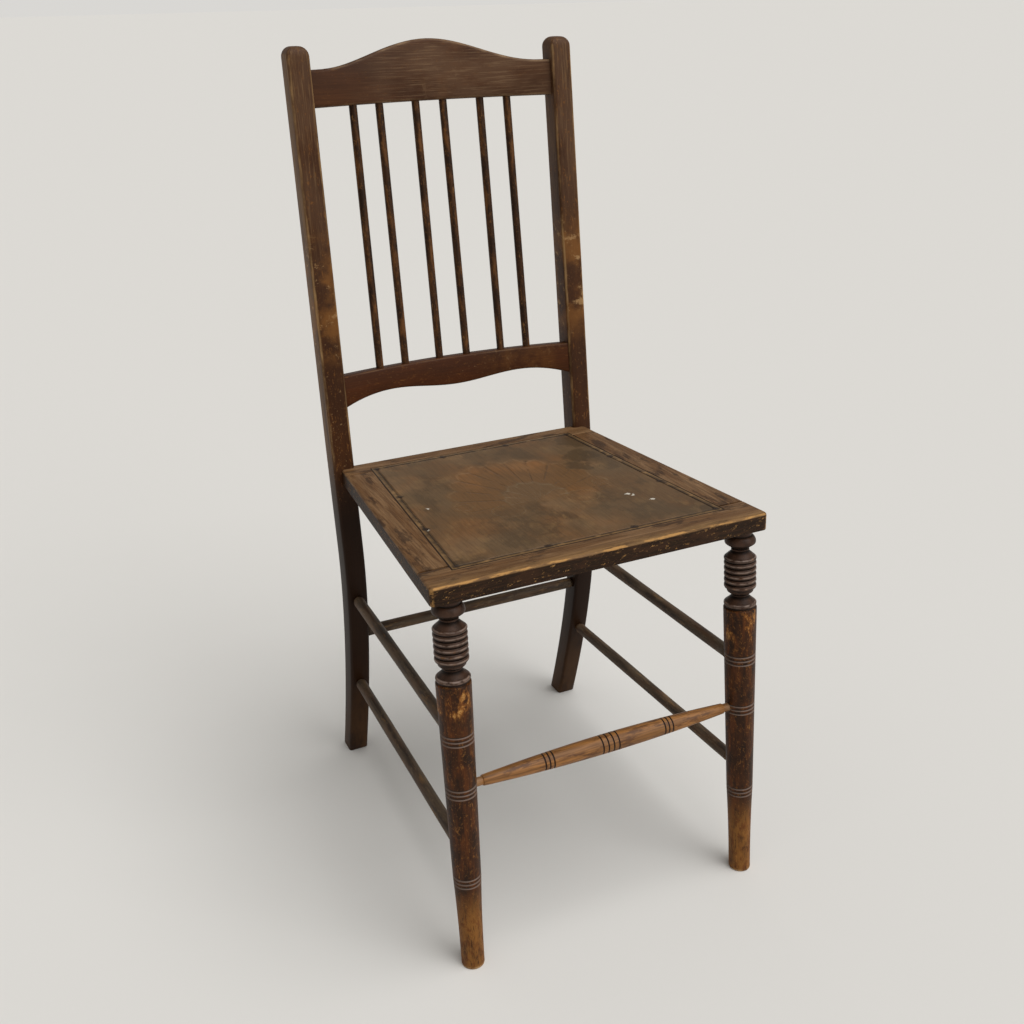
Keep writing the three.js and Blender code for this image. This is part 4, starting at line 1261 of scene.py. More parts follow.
@dataclass(frozen=True)
class BowedRail:
    """Bowed rail between the posts, made in the raked back's plane.

    Its edges are given by their rise above the seat's front edge at an x.
    """

    name: str
    node: str
    half: float
    post_depth: float
    recess: float
    bow: float
    thickness: float
    rounding: float
    low_rise: Curve
    high_rise: Curve
    stations: int = 36
    rounding_steps: int = 4
    tenon_length: float = 12.0
    tenon_inset: float = 5.0

    def front(self, x: float) -> float:
        """Return how far its front face lies behind the posts' middle line."""
        return self.recess - self.post_depth / 2 + self.bow * (1 - (x / self.half) ** 2)

    def low(self, x: float) -> float:
        """Return the place of its lower edge up the raked back."""
        return LAYOUT.up_rake(self.low_rise(x), self.front(x))

    def high(self, x: float) -> float:
        """Return the place of its upper edge up the raked back."""
        return LAYOUT.up_rake(self.high_rise(x), self.front(x))

    def model(self) -> Piece:
        """Model the rail: sliced, shaped slice by slice, then eased.

        Returns:
            The rail, with a short tenon at each end, marked for its finish: its grain runs
            across the chair and its arrises follow its edges.
        """
        half = self.half
        bench = block(self.name, (-half, 0.0, -1.0), (half, self.thickness, 1.0))
        places = [lerp(-half, half, step / self.stations) for step in range(self.stations + 1)]
        for x in places[1:-1]:
            bench.slice((x, 0.0, 0.0), (1.0, 0.0, 0.0))
        near = half / self.stations / 2
        for x in places:
            bench.pick(Pick.VERTS, lambda vert: abs(vert.co.x - x) < near and vert.co.z < 0)
            bench.move((0.0, self.front(x), self.low(x) + 1.0))
            bench.pick(Pick.VERTS, lambda vert: abs(vert.co.x - x) < near and abs(vert.co.z - 1.0) < NEAR)
            bench.move((0.0, self.front(x), self.high(x) - 1.0))
        bench.pick(Pick.EDGES, lambda edge: abs(direction(edge).x) > 0.5)
        bench.bevel(self.rounding, self.rounding_steps)
        for hand in Hand:
            side = hand.value
            bench.pick(
                Pick.FACES,
                lambda face: face.normal.x * side > 0.9 and face.calc_center_median().x * side > half - 0.5,
            )
            bpy.ops.mesh.inset(thickness=self.tenon_inset)
            bench.extrude((side * self.tenon_length, 0.0, 0.0))
        rail = bench.finish()
        middle = self.thickness / 2
        mark(rail, "work", lambda at: (at.z, at.y - self.front(at.x), at.x))
        mark(
            rail,
            "rim",
            lambda at: (at.z - self.low(at.x), self.high(at.x) - at.z, at.y - self.front(at.x) - middle),
        )
        return rail


@dataclass
class Back:
    """Rear posts with the crest rail, the lower rail and the six spindles between them."""

    trim: Trim
    spacing: float = 322.0
    spacing_top: float = 316.5
    width: float = 25.7
    depth_top: float = 28.4
    depth_foot: float = 28.0
    arris: float = 4.0
    arris_steps: int = 5
    foot_arris: float = 1.0
    height: float = 901.5
    straight_steps: int = 9
    dome: float = 11.0
    dome_share: float = 0.72
    dome_steps: int = 7
    knee: float = 330.0
    knee_steps: int = 22
    halvings: int = 40
    foot_sweep: float = math.radians(18.8)
    foot_reach: float = 46.5
    pattern_shift: float = 240.0

    crest_drop: float = 63.5
    crest_end: float = 39.5
    crest_crown: float = 66.5
    crest_hump: float = 268.0
    lower_top: float = 97.0
    lower_end: float = 37.5
    lower_waist: float = 27.0
    lower_middle: float = 34.5
    waist_place: float = 88.0

    spindle_radius: float = 4.6
    spindle_sides: int = 28
    spindle_step: float = 24.0
    spindle_socket: float = 11.0
    spindle_shift: float = 90.0
    spindle_feet: tuple[float, ...] = (18.0, 63.5, 97.4)
    spindle_heads: tuple[float, ...] = (17.0, 62.5, 95.3)

    def middle_line(self, height: float) -> Vector:
        """Follow the right post's middle line, which is raked above its knee and swept below.

        Args:
            height: Height above the floor.

        Returns:
            The line's place there, in the chair's millimetres.
        """
        rake = math.tan(LAYOUT.back_rake)
        y = LAYOUT.post_middle + (height - LAYOUT.seat_height) * rake
        if height < self.knee:
            foot_y = LAYOUT.post_middle + self.foot_reach
            knee_y = LAYOUT.post_middle - (LAYOUT.seat_height - self.knee) * rake
            sweep = math.tan(self.foot_sweep)
            meeting = (foot_y - knee_y + self.knee * rake) / (rake + sweep)
            # The curve's share at a height has no short formula, so it is found by halving.
            low, high = 0.0, 1.0
            for _ in range(self.halvings):
                share = (low + high) / 2
                level = 2 * share * (1 - share) * meeting + share**2 * self.knee
                low, high = (share, high) if level < height else (low, share)
            turn_y = foot_y - meeting * sweep
            y = (1 - low) ** 2 * foot_y + 2 * low * (1 - low) * turn_y + low**2 * knee_y
        up = clamp((height - LAYOUT.seat_height) / (self.height - LAYOUT.seat_height))
        return Vector((lerp(self.spacing, self.spacing_top, up) / 2, y, height))

    def depth(self, height: float) -> float:
        """Give a post's size from front to back.

        Args:
            height: Height above the floor.

        Returns:
            The size there.
        """
        up = clamp((height - LAYOUT.seat_height) / (self.height - LAYOUT.seat_height))
        down = clamp((LAYOUT.seat_height - height) / LAYOUT.seat_height)
        return lerp(lerp(LAYOUT.post_depth, self.depth_top, up), self.depth_foot, down)

    def model_post(self) -> Piece:
        """Model the right post: a square stretched up its middle line, then eased.

        Returns:
            The post.
        """
        bench = Bench.fresh("post_right")
        foot = self.middle_line(0.0)
        bench.scale((self.width, self.depth(0.0), 1.0), (0.0, 0.0, 0.0))
        bench.move(foot)
        dome_start = self.height - self.dome
        swept = [self.knee * step / self.knee_steps for step in range(1, self.knee_steps + 1)]
        raked = [
            lerp(self.knee, dome_start, step / self.straight_steps)
            for step in range(1, self.straight_steps + 1)
        ]
        last = 0.0
        for height in swept + raked:
            here = self.middle_line(height)
            bench.extrude(here - self.middle_line(last))
            bench.scale((1.0, self.depth(height) / self.depth(last), 1.0), here)
            last = height
        bench.pick(Pick.EDGES, lambda edge: abs(direction(edge).z) > 0.8)
        bench.bevel(self.arris, self.arris_steps)
        old_rise, old_share = 0.0, 1.0
        for step in range(1, self.dome_steps + 1):
            angle = step / self.dome_steps * math.pi / 2
            rise = self.dome * math.sin(angle)
            share = 1 - self.dome_share * (1 - math.cos(angle))
            top = last + old_rise
            bench.pick(
                Pick.FACES,
                lambda face: face.normal.z > 0.9 and face.calc_center_median().z > top - NEAR,
            )
            bench.extrude((0.0, 0.0, rise - old_rise))
            growth = share / old_share
            bench.scale((growth, growth, 1.0), self.middle_line(last))
            old_rise, old_share = rise, share
        bench.pick(Pick.EDGES, lambda edge: max(vert.co.z for vert in edge.verts) < NEAR)
        bench.bevel(self.foot_arris, 2)
        return bench.finish()

    def model_posts(self) -> list[Piece]:
        """Model both posts and mark them for their finish.

        Returns:
            The left post and the right one.
        """
        right = self.model_post()
        half = self.width / 2

        def distances(at: Vector) -> Triple:
            """Return a place's distances from both sides, and from the middle of the depth."""
            off = at - self.middle_line(at.z)
            return half - off.x, half + off.x, off.y * 2 * SawnStain.half_thickness / self.depth(at.z)

        mark(right, "work", lambda at: (at - self.middle_line(at.z)).to_2d().to_3d() + Vector((0, 0, at.z)))
        mark(right, "rim", distances)
        left = duplicate(right, "post_left")
        mirror(left)
        return [left, right]

    def crest_top(self, x: float) -> float:
        """Return the crest rail's upper edge above its lower one."""
        hump = (1 + math.cos(math.pi * clamp(abs(x) / (self.crest_hump / 2)))) / 2
        return lerp(self.crest_end, self.crest_crown, hump)

    def lower_depth(self, x: float, half: float) -> float:
        """Follow the ogee of the lower rail's lower edge.

        Args:
            x: Place across the chair.
            half: Half the rail's length.

        Returns:
            The rail's size there, from its upper to its lower edge.
        """
        away = abs(x)
        if away < self.waist_place:
            swell = (1 + math.cos(math.pi * away / self.waist_place)) / 2
            return lerp(self.lower_waist, self.lower_middle, swell)
        share = (away - self.waist_place) / (half - self.waist_place)
        return lerp(self.lower_waist, self.lower_end, clamp(share) ** 2)

    def draw_crest(self) -> BowedRail:
        """Draw the crest rail to fit between the posts.

        Returns:
            The rail, ready to be modelled.
        """
        level = self.height - self.crest_drop
        rise = level - LAYOUT.seat_height
        post = self.middle_line(level + self.crest_end / 2)
        return BowedRail(
            name="crest",
            node="crest_rail",
            half=post.x - self.width / 2,
            post_depth=self.depth(post.z),
            recess=7.0,
            bow=20.0,
            thickness=17.0,
            rounding=4.0,
            low_rise=lambda x: rise,
            high_rise=lambda x: rise + self.crest_top(x),
        )

    def draw_lower_rail(self) -> BowedRail:
        """Draw the lower rail to fit between the posts.

        Returns:
            The rail, ready to be modelled.
        """
        level = LAYOUT.seat_height + self.lower_top
        post = self.middle_line(level - self.lower_end / 2)
        half = post.x - self.width / 2
        return BowedRail(
            name="lower_rail",
            node="lower_back_rail",
            half=half,
            post_depth=self.depth(post.z),
            recess=3.5,
            bow=15.0,
            thickness=18.0,
            rounding=2.5,
            low_rise=lambda x: self.lower_top - self.lower_depth(x, half),
            high_rise=lambda x: self.lower_top,
        )

    def build_rail(self, rail: BowedRail, **looks: object) -> None:
        """Make a bowed rail, whose arrises are worn from end to end.

        Args:
            rail: The rail.
            **looks: What its finish has otherwise than the posts'.
        """
        piece = rail.model()
        settle(piece, LAYOUT.back_plane)
        stain = SawnStain(
            half_thickness=rail.thickness / 2,
            arris=rail.rounding,
            line_zone=Band(-400.0, None, 1.0),
            # The rails get no painted shade.
            shade_zone=Band(None, -400.0, 1.0),
            **looks,
        )
        self.trim.fit(piece, stain.material(), "dark_stained_wood", rail.node)

    def build(self) -> list[Piece]:
        """Make the back.

        Returns:
            The two posts, which the seat is cut round.
        """
        posts = self.model_posts()
        crest = self.draw_crest()
        lower = self.draw_lower_rail()
        self.build_rail(
            crest,
            name="shellacked dark stain on crest rail",
            body="4c2d18",
            bare="95795a",
            line=0.7,
            bloom_zone=Band(-60.0, 150.0, 60.0),
            bloom_strength=0.7,
            rubbed=Band(-30.0, 40.0, 20.0),
            rub_strength=0.15,
            scuffs=0.15,
        )
        self.build_rail(
            lower,
            name="shellacked dark stain on lower rail",
            body="4a260f",
            bare="8a6b48",
            line=0.3,
            bloom_strength=0.0,
            rubbed=Band(40.0, 130.0, 20.0),
            rub_strength=0.3,
            scuffs=0.4,
        )
        self.build_spindles(lower, crest)
        stain = SawnStain(side_paling=0.7, foot_out_of_shade=0.7).material()
        for post, side, shift in zip(posts, ("left", "right"), (0.0, self.pattern_shift)):
            upright = duplicate(post, f"rear_upright_{side}")
            self.trim.fit(upright, stain, "dark_stained_wood", f"rear_post_{side}", shift)
        return posts

    def build_spindles(self, lower: BowedRail, crest: BowedRail) -> None:
        """Make the six spindles between the rails' middle lines.

        Args:
            lower: The rail that they stand in.
            crest: The rail over them.
        """
        nowhere = Band(900.0, None, 1.0)
        finish = TurnedStain(
            name="dark stain on spindles",
            body="38210f",
            warm="6e4621",
            bare="9a7040",
            ring_zone=nowhere,
            scuffed=nowhere,
            foot_zone=nowhere,
            sole_zone=nowhere,
            nicks=0.3,
        ).material()
        pairs = [
            (side.value * foot, side.value * head)
            for side in Hand
            for foot, head in zip(self.spindle_feet, self.spindle_heads)
        ]
        for number, (foot, head) in enumerate(sorted(pairs), start=1):
            start = Vector((foot, lower.front(foot) + lower.thickness / 2, lower.high(foot)))
            end = Vector((head, crest.front(head) + crest.thickness / 2, crest.low(head)))
            span = (end - start).length
            outline = Turning(-self.spindle_socket)
            outline.to(-self.spindle_socket, self.spindle_radius)
            outline.sweep(span + self.spindle_socket, lambda at: self.spindle_radius, self.spindle_step)
            spindle = outline.spin(f"spindle_{number}", self.spindle_sides)
            mark(spindle, "work", lambda at: at)
            mark(spindle, "relief", lambda at: (0.0, 0.0, 0.0))
            settle(spindle, LAYOUT.back_plane @ aimed(start, end))
            shift = self.spindle_shift * number
            self.trim.fit(spindle, finish, "dark_stained_wood", f"back_spindle_{number}", shift)


@dataclass
class Seat:
    """Framed seat: four rails, the pressed panel in their rebate, and its nails."""

    trim: Trim
    posts: list[Piece]
    corner: float = 6.0
    corner_steps: int = 6
    corner_zone: float = 100.0
    top_round: float = 3.0
    top_steps: int = 5
    under_steps: int = 2
    front_rail: float = 42.0
    side_rail: float = 44.0
    back_rail: float = 34.0
    rebate: float = 12.0
    rail_shift: float = 130.0

    panel_thickness: float = 5.0
    panel_ease: float = 0.7
    joint: float = 0.3
    line_inset: float = 6.0
    line_width: float = 1.7
    line_depth: float = 0.7
    line_reach: float = 0.45

    nail_inset: float = 6.8
    nail_shank: tuple[tuple[float, float], ...] = ((-9.0, 0.2), (-7.4, 0.8), (-1.2, 0.8))
    nail_head: tuple[tuple[float, float], ...] = ((-1.2, 2.3), (-0.1, 2.3))
    nail_sides: int = 20
    nail_shift: float = 7.0

    @property
    def back_edge(self) -> float:
        """Return the seat's back edge, between the posts."""
        return LAYOUT.seat_depth + LAYOUT.past_posts

    @property
    def back_front(self) -> float:
        """Return the front edge of the back rail."""
        return self.back_edge - self.back_rail

    @property
    def panel_front(self) -> float:
        """Return where the panel starts."""
        return self.front_rail - self.rebate

    @property
    def panel_back(self) -> float:
        """Return where the panel ends."""
        return self.back_front + self.rebate

    @property
    def panel_side(self) -> float:
        """Return how far in from the seat's sides the panel starts."""
        return self.side_rail - self.rebate

    def nails(self) -> list[tuple[float, float]]:
        """Place the nails: four across the front and back, two more at each side.

        Returns:
            Their places in the seat's plane.
        """
        front = self.panel_front + self.nail_inset
        back = self.panel_back - self.nail_inset
        inset = self.panel_side + self.nail_inset
        places = []
        for y in (front, back):
            half = LAYOUT.half_width(y) - inset
            places += [(lerp(-half, half, step / 3), y) for step in range(4)]
        for side in Hand:
            for step in (1, 2):
                y = lerp(front, back, step / 3)
                places.append((side.value * (LAYOUT.half_width(y) - inset), y))
        return places

    def wedge(self, name: str, inset: float, front: float, back: float, low: float, high: float) -> Bench:
        """Start a block that narrows backwards as the seat does.

        Args:
            name: The piece's name.
            inset: Its distance in from the seat's sides.
            front: Where it starts.
            back: Where it ends.
            low: Its underside.
            high: Its top.

        Returns:
            The bench, with the block on it.
        """
        wide = LAYOUT.half_width(front) - inset
        narrow = LAYOUT.half_width(back) - inset
        return block(name, (-wide, front, low), (wide, back, high), narrow / wide)

    def ease(self, bench: Bench, outer: Callable[[Vector], bool]) -> None:
        """Round a rail's outer upper edges well, and its outer lower edges a little.

        Args:
            bench: The bench with the rail.
            outer: Says whether a place is on the seat's outer edge.
        """
        roundings = (
            (0.0, self.top_round, self.top_steps),
            (-LAYOUT.seat_thickness, LAYOUT.under_round, self.under_steps),
        )
        for level, width, steps in roundings:
            bench.pick(
                Pick.EDGES,
                lambda edge: all(abs(vert.co.z - level) < NEAR and outer(vert.co) for vert in edge.verts),
            )
            bench.bevel(width, steps)

    def on_side(self, at: Vector) -> bool:
        """Say whether a place is on the seat's side edge or rounded corner."""
        in_corner = at.y < self.corner and abs(at.x) > self.corner_zone
        return in_corner or abs(at.x) > LAYOUT.half_width(at.y) - 5 * NEAR

    def model_front(self) -> Piece:
        """Model the front rail, with its rounded corners.

        Returns:
            The rail.
        """
        bench = self.wedge("front_board", 0.0, 0.0, self.front_rail, -LAYOUT.seat_thickness, 0.0)
        bench.pick(
            Pick.EDGES, lambda edge: abs(direction(edge).z) > 0.5 and edge.verts[0].co.y < self.corner
        )
        bench.bevel(self.corner, self.corner_steps)
        self.ease(bench, lambda at: at.y < 5 * NEAR or self.on_side(at))
        return bench.finish()

    def model_side(self) -> Piece:
        """Model the right side rail.

        Returns:
            The rail.
        """
        front, back = self.front_rail + self.joint, self.back_front - self.joint
        bench = self.wedge("side_board_right", 0.0, front, back, -LAYOUT.seat_thickness, 0.0)
        for end in (front, back):
            bench.pick(Pick.VERTS, lambda vert: vert.co.x < 0.0 and abs(vert.co.y - end) < NEAR)
            bench.move((2 * LAYOUT.half_width(end) - self.side_rail, 0.0, 0.0))
        self.ease(bench, self.on_side)
        return bench.finish()

    def model_back(self) -> Piece:
        """Model the back rail, before it is cut round the posts.

        Returns:
            The rail.
        """
        low = -LAYOUT.seat_thickness
        bench = self.wedge("back_board", 0.0, self.back_front, self.back_edge, low, 0.0)
        self.ease(bench, lambda at: self.on_side(at) or at.y > self.back_edge - 5 * NEAR)
        return bench.finish()

    def model_panel(self) -> Piece:
        """Model the panel, with its eased edge and the line pressed round its border.

        Returns:
            The panel.
        """
        bench = self.wedge(
            "pressed_panel",
            self.panel_side + self.joint,
            self.panel_front + self.joint,
            self.panel_back - self.joint,
            -self.panel_thickness,
            0.0,
        )
        bench.pick(Pick.EDGES, lambda edge: all(abs(vert.co.z) < NEAR for vert in edge.verts))
        bench.bevel(self.panel_ease, 2)
        bench.pick(Pick.FACES, lambda face: face.normal.z > 0.99)
        bpy.ops.mesh.inset(thickness=self.line_inset)
        bpy.ops.mesh.inset(thickness=self.line_width / 2)
        bench.move((0.0, 0.0, -self.line_depth))
        bpy.ops.mesh.inset(thickness=self.line_width / 2)
        bench.move((0.0, 0.0, self.line_depth))
        return bench.finish()

    def model_nail(self) -> Piece:
        """Model one nail: a low domed head let into the panel.

        Returns:
            The nail, marked for its finish.
        """
        outline = Turning(self.nail_shank[0][0])
        for along, radius in self.nail_shank + self.nail_head:
            outline.to(along, radius)
        outline.bulge(0.25, 0.3, 0.12, steps=5)
        nail = outline.spin("nail", self.nail_sides)
        mark(nail, "work", lambda at: at)
        return nail

    def rail_marks(self, piece: Piece, along_side: bool) -> None:
        """Mark a rail with its grain direction and its distances from the seat's edges.

        Args:
            piece: The rail.
            along_side: Whether its grain runs back rather than across.
        """
        if along_side:
            mark(piece, "work", lambda at: (at.x, at.z, at.y))
        else:
            mark(piece, "work", lambda at: (at.y, at.z, at.x))
        mark(piece, "rim", lambda at: (at.y, LAYOUT.half_width(at.y) - abs(at.x), -at.z))

    def panel_marks(self, piece: Piece) -> None:
        """Mark the panel with its own plane and its distances from edge and border line.

        Args:
            piece: The panel.
        """
        line = self.line_inset + self.line_width / 2 + self.joint

        def distances(at: Vector) -> Triple:
            """Measure a place on the panel.

            Args:
                at: The place.

            Returns:
                Its distance from the edge, 1 if it is on the line, and its depth.
            """
            side = LAYOUT.half_width(at.y) - self.panel_side - abs(at.x)
            edge = min(side, at.y - self.panel_front, self.panel_back - at.y)
            return edge, 1.0 if abs(edge - line) < self.line_reach else 0.0, -at.z

        mark(piece, "work", lambda at: at)
        mark(piece, "rim", distances)

    def build_rails(self) -> None:
        """Make the four rails, cut for the panel and round the posts."""
        rebate = self.wedge(
            "rebate_tool",
            self.panel_side,
            self.panel_front,
            self.panel_back,
            -self.panel_thickness - self.joint,
            self.panel_thickness,
        ).finish()
        cross_stain = SeatRailStain().material()
        side_stain = SeatRailStain(name="rubbed stain on side rails", along_side=True).material()
        right = self.model_side()
        left = duplicate(right, "side_board_left")
        mirror(left)
        rails = (
            (self.model_front(), "seat_front_rail", False),
            (self.model_back(), "seat_back_rail", False),
            (right, "seat_side_rail_right", True),
            (left, "seat_side_rail_left", True),
        )
        for post in self.posts:
            settle(post, LAYOUT.seat_plane.inverted())
        for number, (rail, node, along_side) in enumerate(rails):
            for tool in (rebate, *self.posts):
                cut(rail, tool)
            self.rail_marks(rail, along_side)
            settle(rail, LAYOUT.seat_plane)
            stain = side_stain if along_side else cross_stain
            self.trim.fit(rail, stain, "seat_frame_wood", node, self.rail_shift * number)
        for spare in (rebate, *self.posts):
            bpy.data.objects.remove(spare, do_unlink=True)

    def build(self) -> None:
        """Make the seat."""
        self.build_rails()
        panel = self.model_panel()
        self.panel_marks(panel)
        settle(panel, LAYOUT.seat_plane)
        finish = PressedPly(nail_places=tuple(self.nails())).material()
        self.trim.fit(panel, finish, "pressed_plywood", "seat_panel")

        iron = BluedIron().material()
        first = self.model_nail()
        for number, (x, y) in enumerate(self.nails(), start=1):
            nail = duplicate(first, f"nail_{number:02d}")
            settle(nail, LAYOUT.seat_plane @ Matrix.Translation((x, y, 0.0)))
            node = f"panel_nail_{number:02d}"
            self.trim.fit(nail, iron, "dark_iron", node, self.nail_shift * number)
        bpy.data.objects.remove(first, do_unlink=True)


@dataclass(frozen=True)
class Stretch:
    """Stretch of a leg's turning: where it ends below the seat, and how far it bulges."""

    drop: float
    radius: float
    height: float = 0.0
    steps: int = 1


@dataclass
class Base:
    """Turned front legs, the turned front stretcher and the five plain stretchers.

    The leg's foot, ankle and rings are placed up from the floor, and its notch, beads and
    necks down from the seat's underside.
    """

    trim: Trim
    back: Back
    inset_side: float = 23.4
    inset_front: float = 17.2
    splay_side: float = 4.1
    splay_front: float = 34.0
    leg_sides: int = 72
    leg_shift: float = 170.0
    below_floor: float = 6.0
    foot_ease: float = 1.4
    tenon_radius: float = 8.0
    tenon_length: float = 13.0
    inside_seat: float = 1.0
    growth_reach: float = 0.4
    relief_reach: float = 2.6

    foot_radius: float = 12.4
    ankle_radius: float = 14.8
    column_radius: float = 18.0
    foot_curve: float = 2.2
    column_top: float = 90.0
    column_end: float = 90.6
    ring_places: tuple[float, ...] = (108.5, 216.0, 277.0)
    ring_pitch: float = 4.7
    ring_width: float = 2.0
    ring_depth: float = 0.9
    ring_lead: float = 0.5

    notch_and_collar: tuple[Stretch, ...] = (
        Stretch(89.6, 17.3, 0.2, 3),
        Stretch(87.2, 16.9, -1.5, 6),
        Stretch(83.9, 17.3, 0.4, 6),
    )
    lower_neck: float = 75.0
    last_bead: tuple[Stretch, ...] = (Stretch(70.2, 13.8, 1.3, 6), Stretch(67.2, 14.7, 0.2, 5))
    groove_radius: float = 14.7
    bead_height: float = 2.6
    bead_pitch: float = 6.45
    bead_count: int = 5
    first_bead: float = 38.2
    barrel_rim: tuple[Stretch, ...] = (Stretch(34.5, 16.5), Stretch(31.7, 17.1, 0.4, 5))
    upper_neck: float = 22.4
    top_bead: tuple[Stretch, ...] = (
        Stretch(20.6, 9.0),
        Stretch(17.3, 13.7, -0.7, 5),
        Stretch(16.0, 14.9),
        Stretch(6.6, 12.2, 2.7, 12),
    )
    neck_radius: float = 8.6
    neck_half: float = 1.2
    neck_ring: float = 1.1
    neck_fillet: float = 0.8
    fillet_depth: float = 0.1
    rim_groove: tuple[float, float] = (1.3, 2.4)
    rim_groove_depth: float = 0.5

    front_height: float = 216.0
    front_middle: float = 10.4
    front_end: float = 5.7
    front_tenon: float = 4.6
    front_bare: float = 7.0
    front_sides: int = 56
    front_shoulder: float = 0.8
    cut_half: float = 0.9
    cut_groups: tuple[tuple[float, int, float], ...] = ((-72.0, 3, 5.0), (0.0, 4, 6.4), (72.0, 3, 5.0))

    side_radius: float = 6.9
    side_tenon: float = 5.2
    side_bare: float = 2.5
    side_levels: tuple[tuple[str, float, float], ...] = (("upper", 260.5, 269.0), ("lower", 129.0, 137.0))
    rear_radius: float = 7.1
    rear_tenon: float = 5.6
    rear_height: float = 203.5
    bar_sides: int = 40
    bar_ease: float = 2.4
    bar_waver: float = 0.12
    bar_waver_length: float = 31.0
    bar_swell: float = 0.35
    rub_start: float = 2.2
    rub_length: float = 3.0
    reach: float = 12.0
    level_shift: float = 60.0
    hand_shift: float = 140.0
    rear_shift: float = 300.0

    @property
    def leg_top(self) -> Vector:
        """Return the right leg's axis at the seat's underside."""
        half = LAYOUT.front_width / 2 - self.inset_side
        return LAYOUT.seat_plane @ Vector((half, self.inset_front, -LAYOUT.seat_thickness))

    @property
    def leg_foot(self) -> Vector:
        """Return the right leg's axis at the floor."""
        top = self.leg_top
        return Vector((top.x + self.splay_side, top.y - self.splay_front, 0.0))

    @property
    def leg_length(self) -> float:
        """Return the leg's length from the floor to the seat's underside."""
        return (self.leg_top - self.leg_foot).length

    def leg_axis(self, height: float) -> Vector:
        """Return the right leg's axis at a height."""
        return self.leg_foot.lerp(self.leg_top, height / self.leg_top.z)

    def column(self, place: float) -> float:
        """Give the plain column's radius, which tapers to the ankle and curves to the foot.

        Args:
            place: Place up the leg.

        Returns:
            The radius there.
        """
        ankle = self.ring_places[0]
        if place < ankle:
            return lerp(self.foot_radius, self.ankle_radius, clamp(place / ankle) ** self.foot_curve)
        top = self.leg_length - self.column_top
        return lerp(self.ankle_radius, self.column_radius, (place - ankle) / (top - ankle))

    def groove(self, outline: Turning, place: float) -> None:
        """Cut one rounded groove into the column.

        Args:
            outline: The leg's outline.
            place: Middle of the groove, up the leg.
        """
        start, end = place - self.ring_width / 2, place + self.ring_width / 2
        outline.sweep(start - self.ring_lead, self.column, spacing=14.0)
        outline.to(start, self.column(start))
        outline.bulge(end, self.column(end), -self.ring_depth, steps=5)

    def carry(self, outline: Turning, stretches: Sequence[Stretch]) -> None:
        """Carry the leg's outline on through some stretches."""
        for part in stretches:
            outline.bulge(self.leg_length - part.drop, part.radius, part.height, part.steps)

    def cone(self, outline: Turning, neck_drop: float) -> None:
        """Carry the outline up a straight cone and through the thin ringed neck over it.

        The cone has a fine groove beside its rim, and the neck a fine ring at its middle.

        Args:
            outline: The leg's outline, up to the cone's rim.
            neck_drop: Distance of the neck's middle below the seat.
        """
        rim, radius = outline.points[-1]
        middle = self.leg_length - neck_drop
        neck = middle - self.neck_half

        def at(rise: float) -> float:
            """Return the cone's radius at a distance over its rim."""
            return lerp(radius, self.neck_radius, rise / (neck - rim))

        start, end = self.rim_groove
        outline.to(rim + start, at(start))
        outline.bulge(rim + end, at(end), -self.rim_groove_depth, steps=4)
        outline.to(neck - self.neck_fillet, at(neck - rim - self.neck_fillet) - self.fillet_depth)
        outline.to(neck, self.neck_radius)
        outline.bulge(middle + self.neck_half, self.neck_radius, self.neck_ring, steps=6)

    def leg_outline(self) -> Turning:
        """Draw the leg from below the floor to the top of its dowel.

        Returns:
            The outline.
        """
        length = self.leg_length
        outline = Turning(-self.below_floor)
        outline.to(-self.below_floor, self.foot_radius)
        for middle in self.ring_places:
            for step in (-1, 0, 1):
                self.groove(outline, middle + step * self.ring_pitch)
        outline.sweep(length - self.column_end, self.column, spacing=10.0)
        self.carry(outline, self.notch_and_collar)
        self.cone(outline, self.lower_neck)
        self.carry(outline, self.last_bead)
        for number in reversed(range(self.bead_count)):
            middle = length - self.first_bead - number * self.bead_pitch
            outline.bulge(middle + self.bead_pitch / 2, self.groove_radius, self.bead_height, steps=10)
        self.carry(outline, self.barrel_rim)
        self.cone(outline, self.upper_neck)
        self.carry(outline, self.top_bead)
        outline.to(length + self.inside_seat, self.top_bead[-1].radius)
        outline.to(length + self.inside_seat, self.tenon_radius)
        outline.to(length + self.tenon_length, self.tenon_radius)
        return outline

    def build_legs(self) -> None:
        """Make the two front legs, cut flat on the floor."""
        outline = self.leg_outline()
        leg = outline.spin("turned_leg_right", self.leg_sides)

        def relief(at: Vector) -> Triple:
            """Measure a place on the turning.

            Args:
                at: The place.

            Returns:
                How far it stands proud, how fast the outline widens there, and nothing.
            """
            low, high = at.z - self.growth_reach, at.z + self.growth_reach
            growth = outline.radius_at(high) - outline.radius_at(low)
            return outline.relief(at.z, at.to_2d().length, self.relief_reach), growth, 0.0

        mark(leg, "work", lambda at: at)
        mark(leg, "relief", relief)
        settle(leg, aimed(self.leg_foot, self.leg_top))
        bench = Bench(leg)
        bench.slice((0.0, 0.0, 0.0), (0.0, 0.0, 1.0), drop=True)
        bench.pick(Pick.EDGES, lambda edge: all(abs(vert.co.z) < WELD for vert in edge.verts))
        bench.bevel(self.foot_ease, 3)
        bench.finish()
        left = duplicate(leg, "turned_leg_left")
        mirror(left)
        finish = TurnedStain().material()
        self.trim.fit(leg, finish, "leg_wood", "front_leg_right")
        self.trim.fit(left, finish, "leg_wood", "front_leg_left", self.leg_shift)

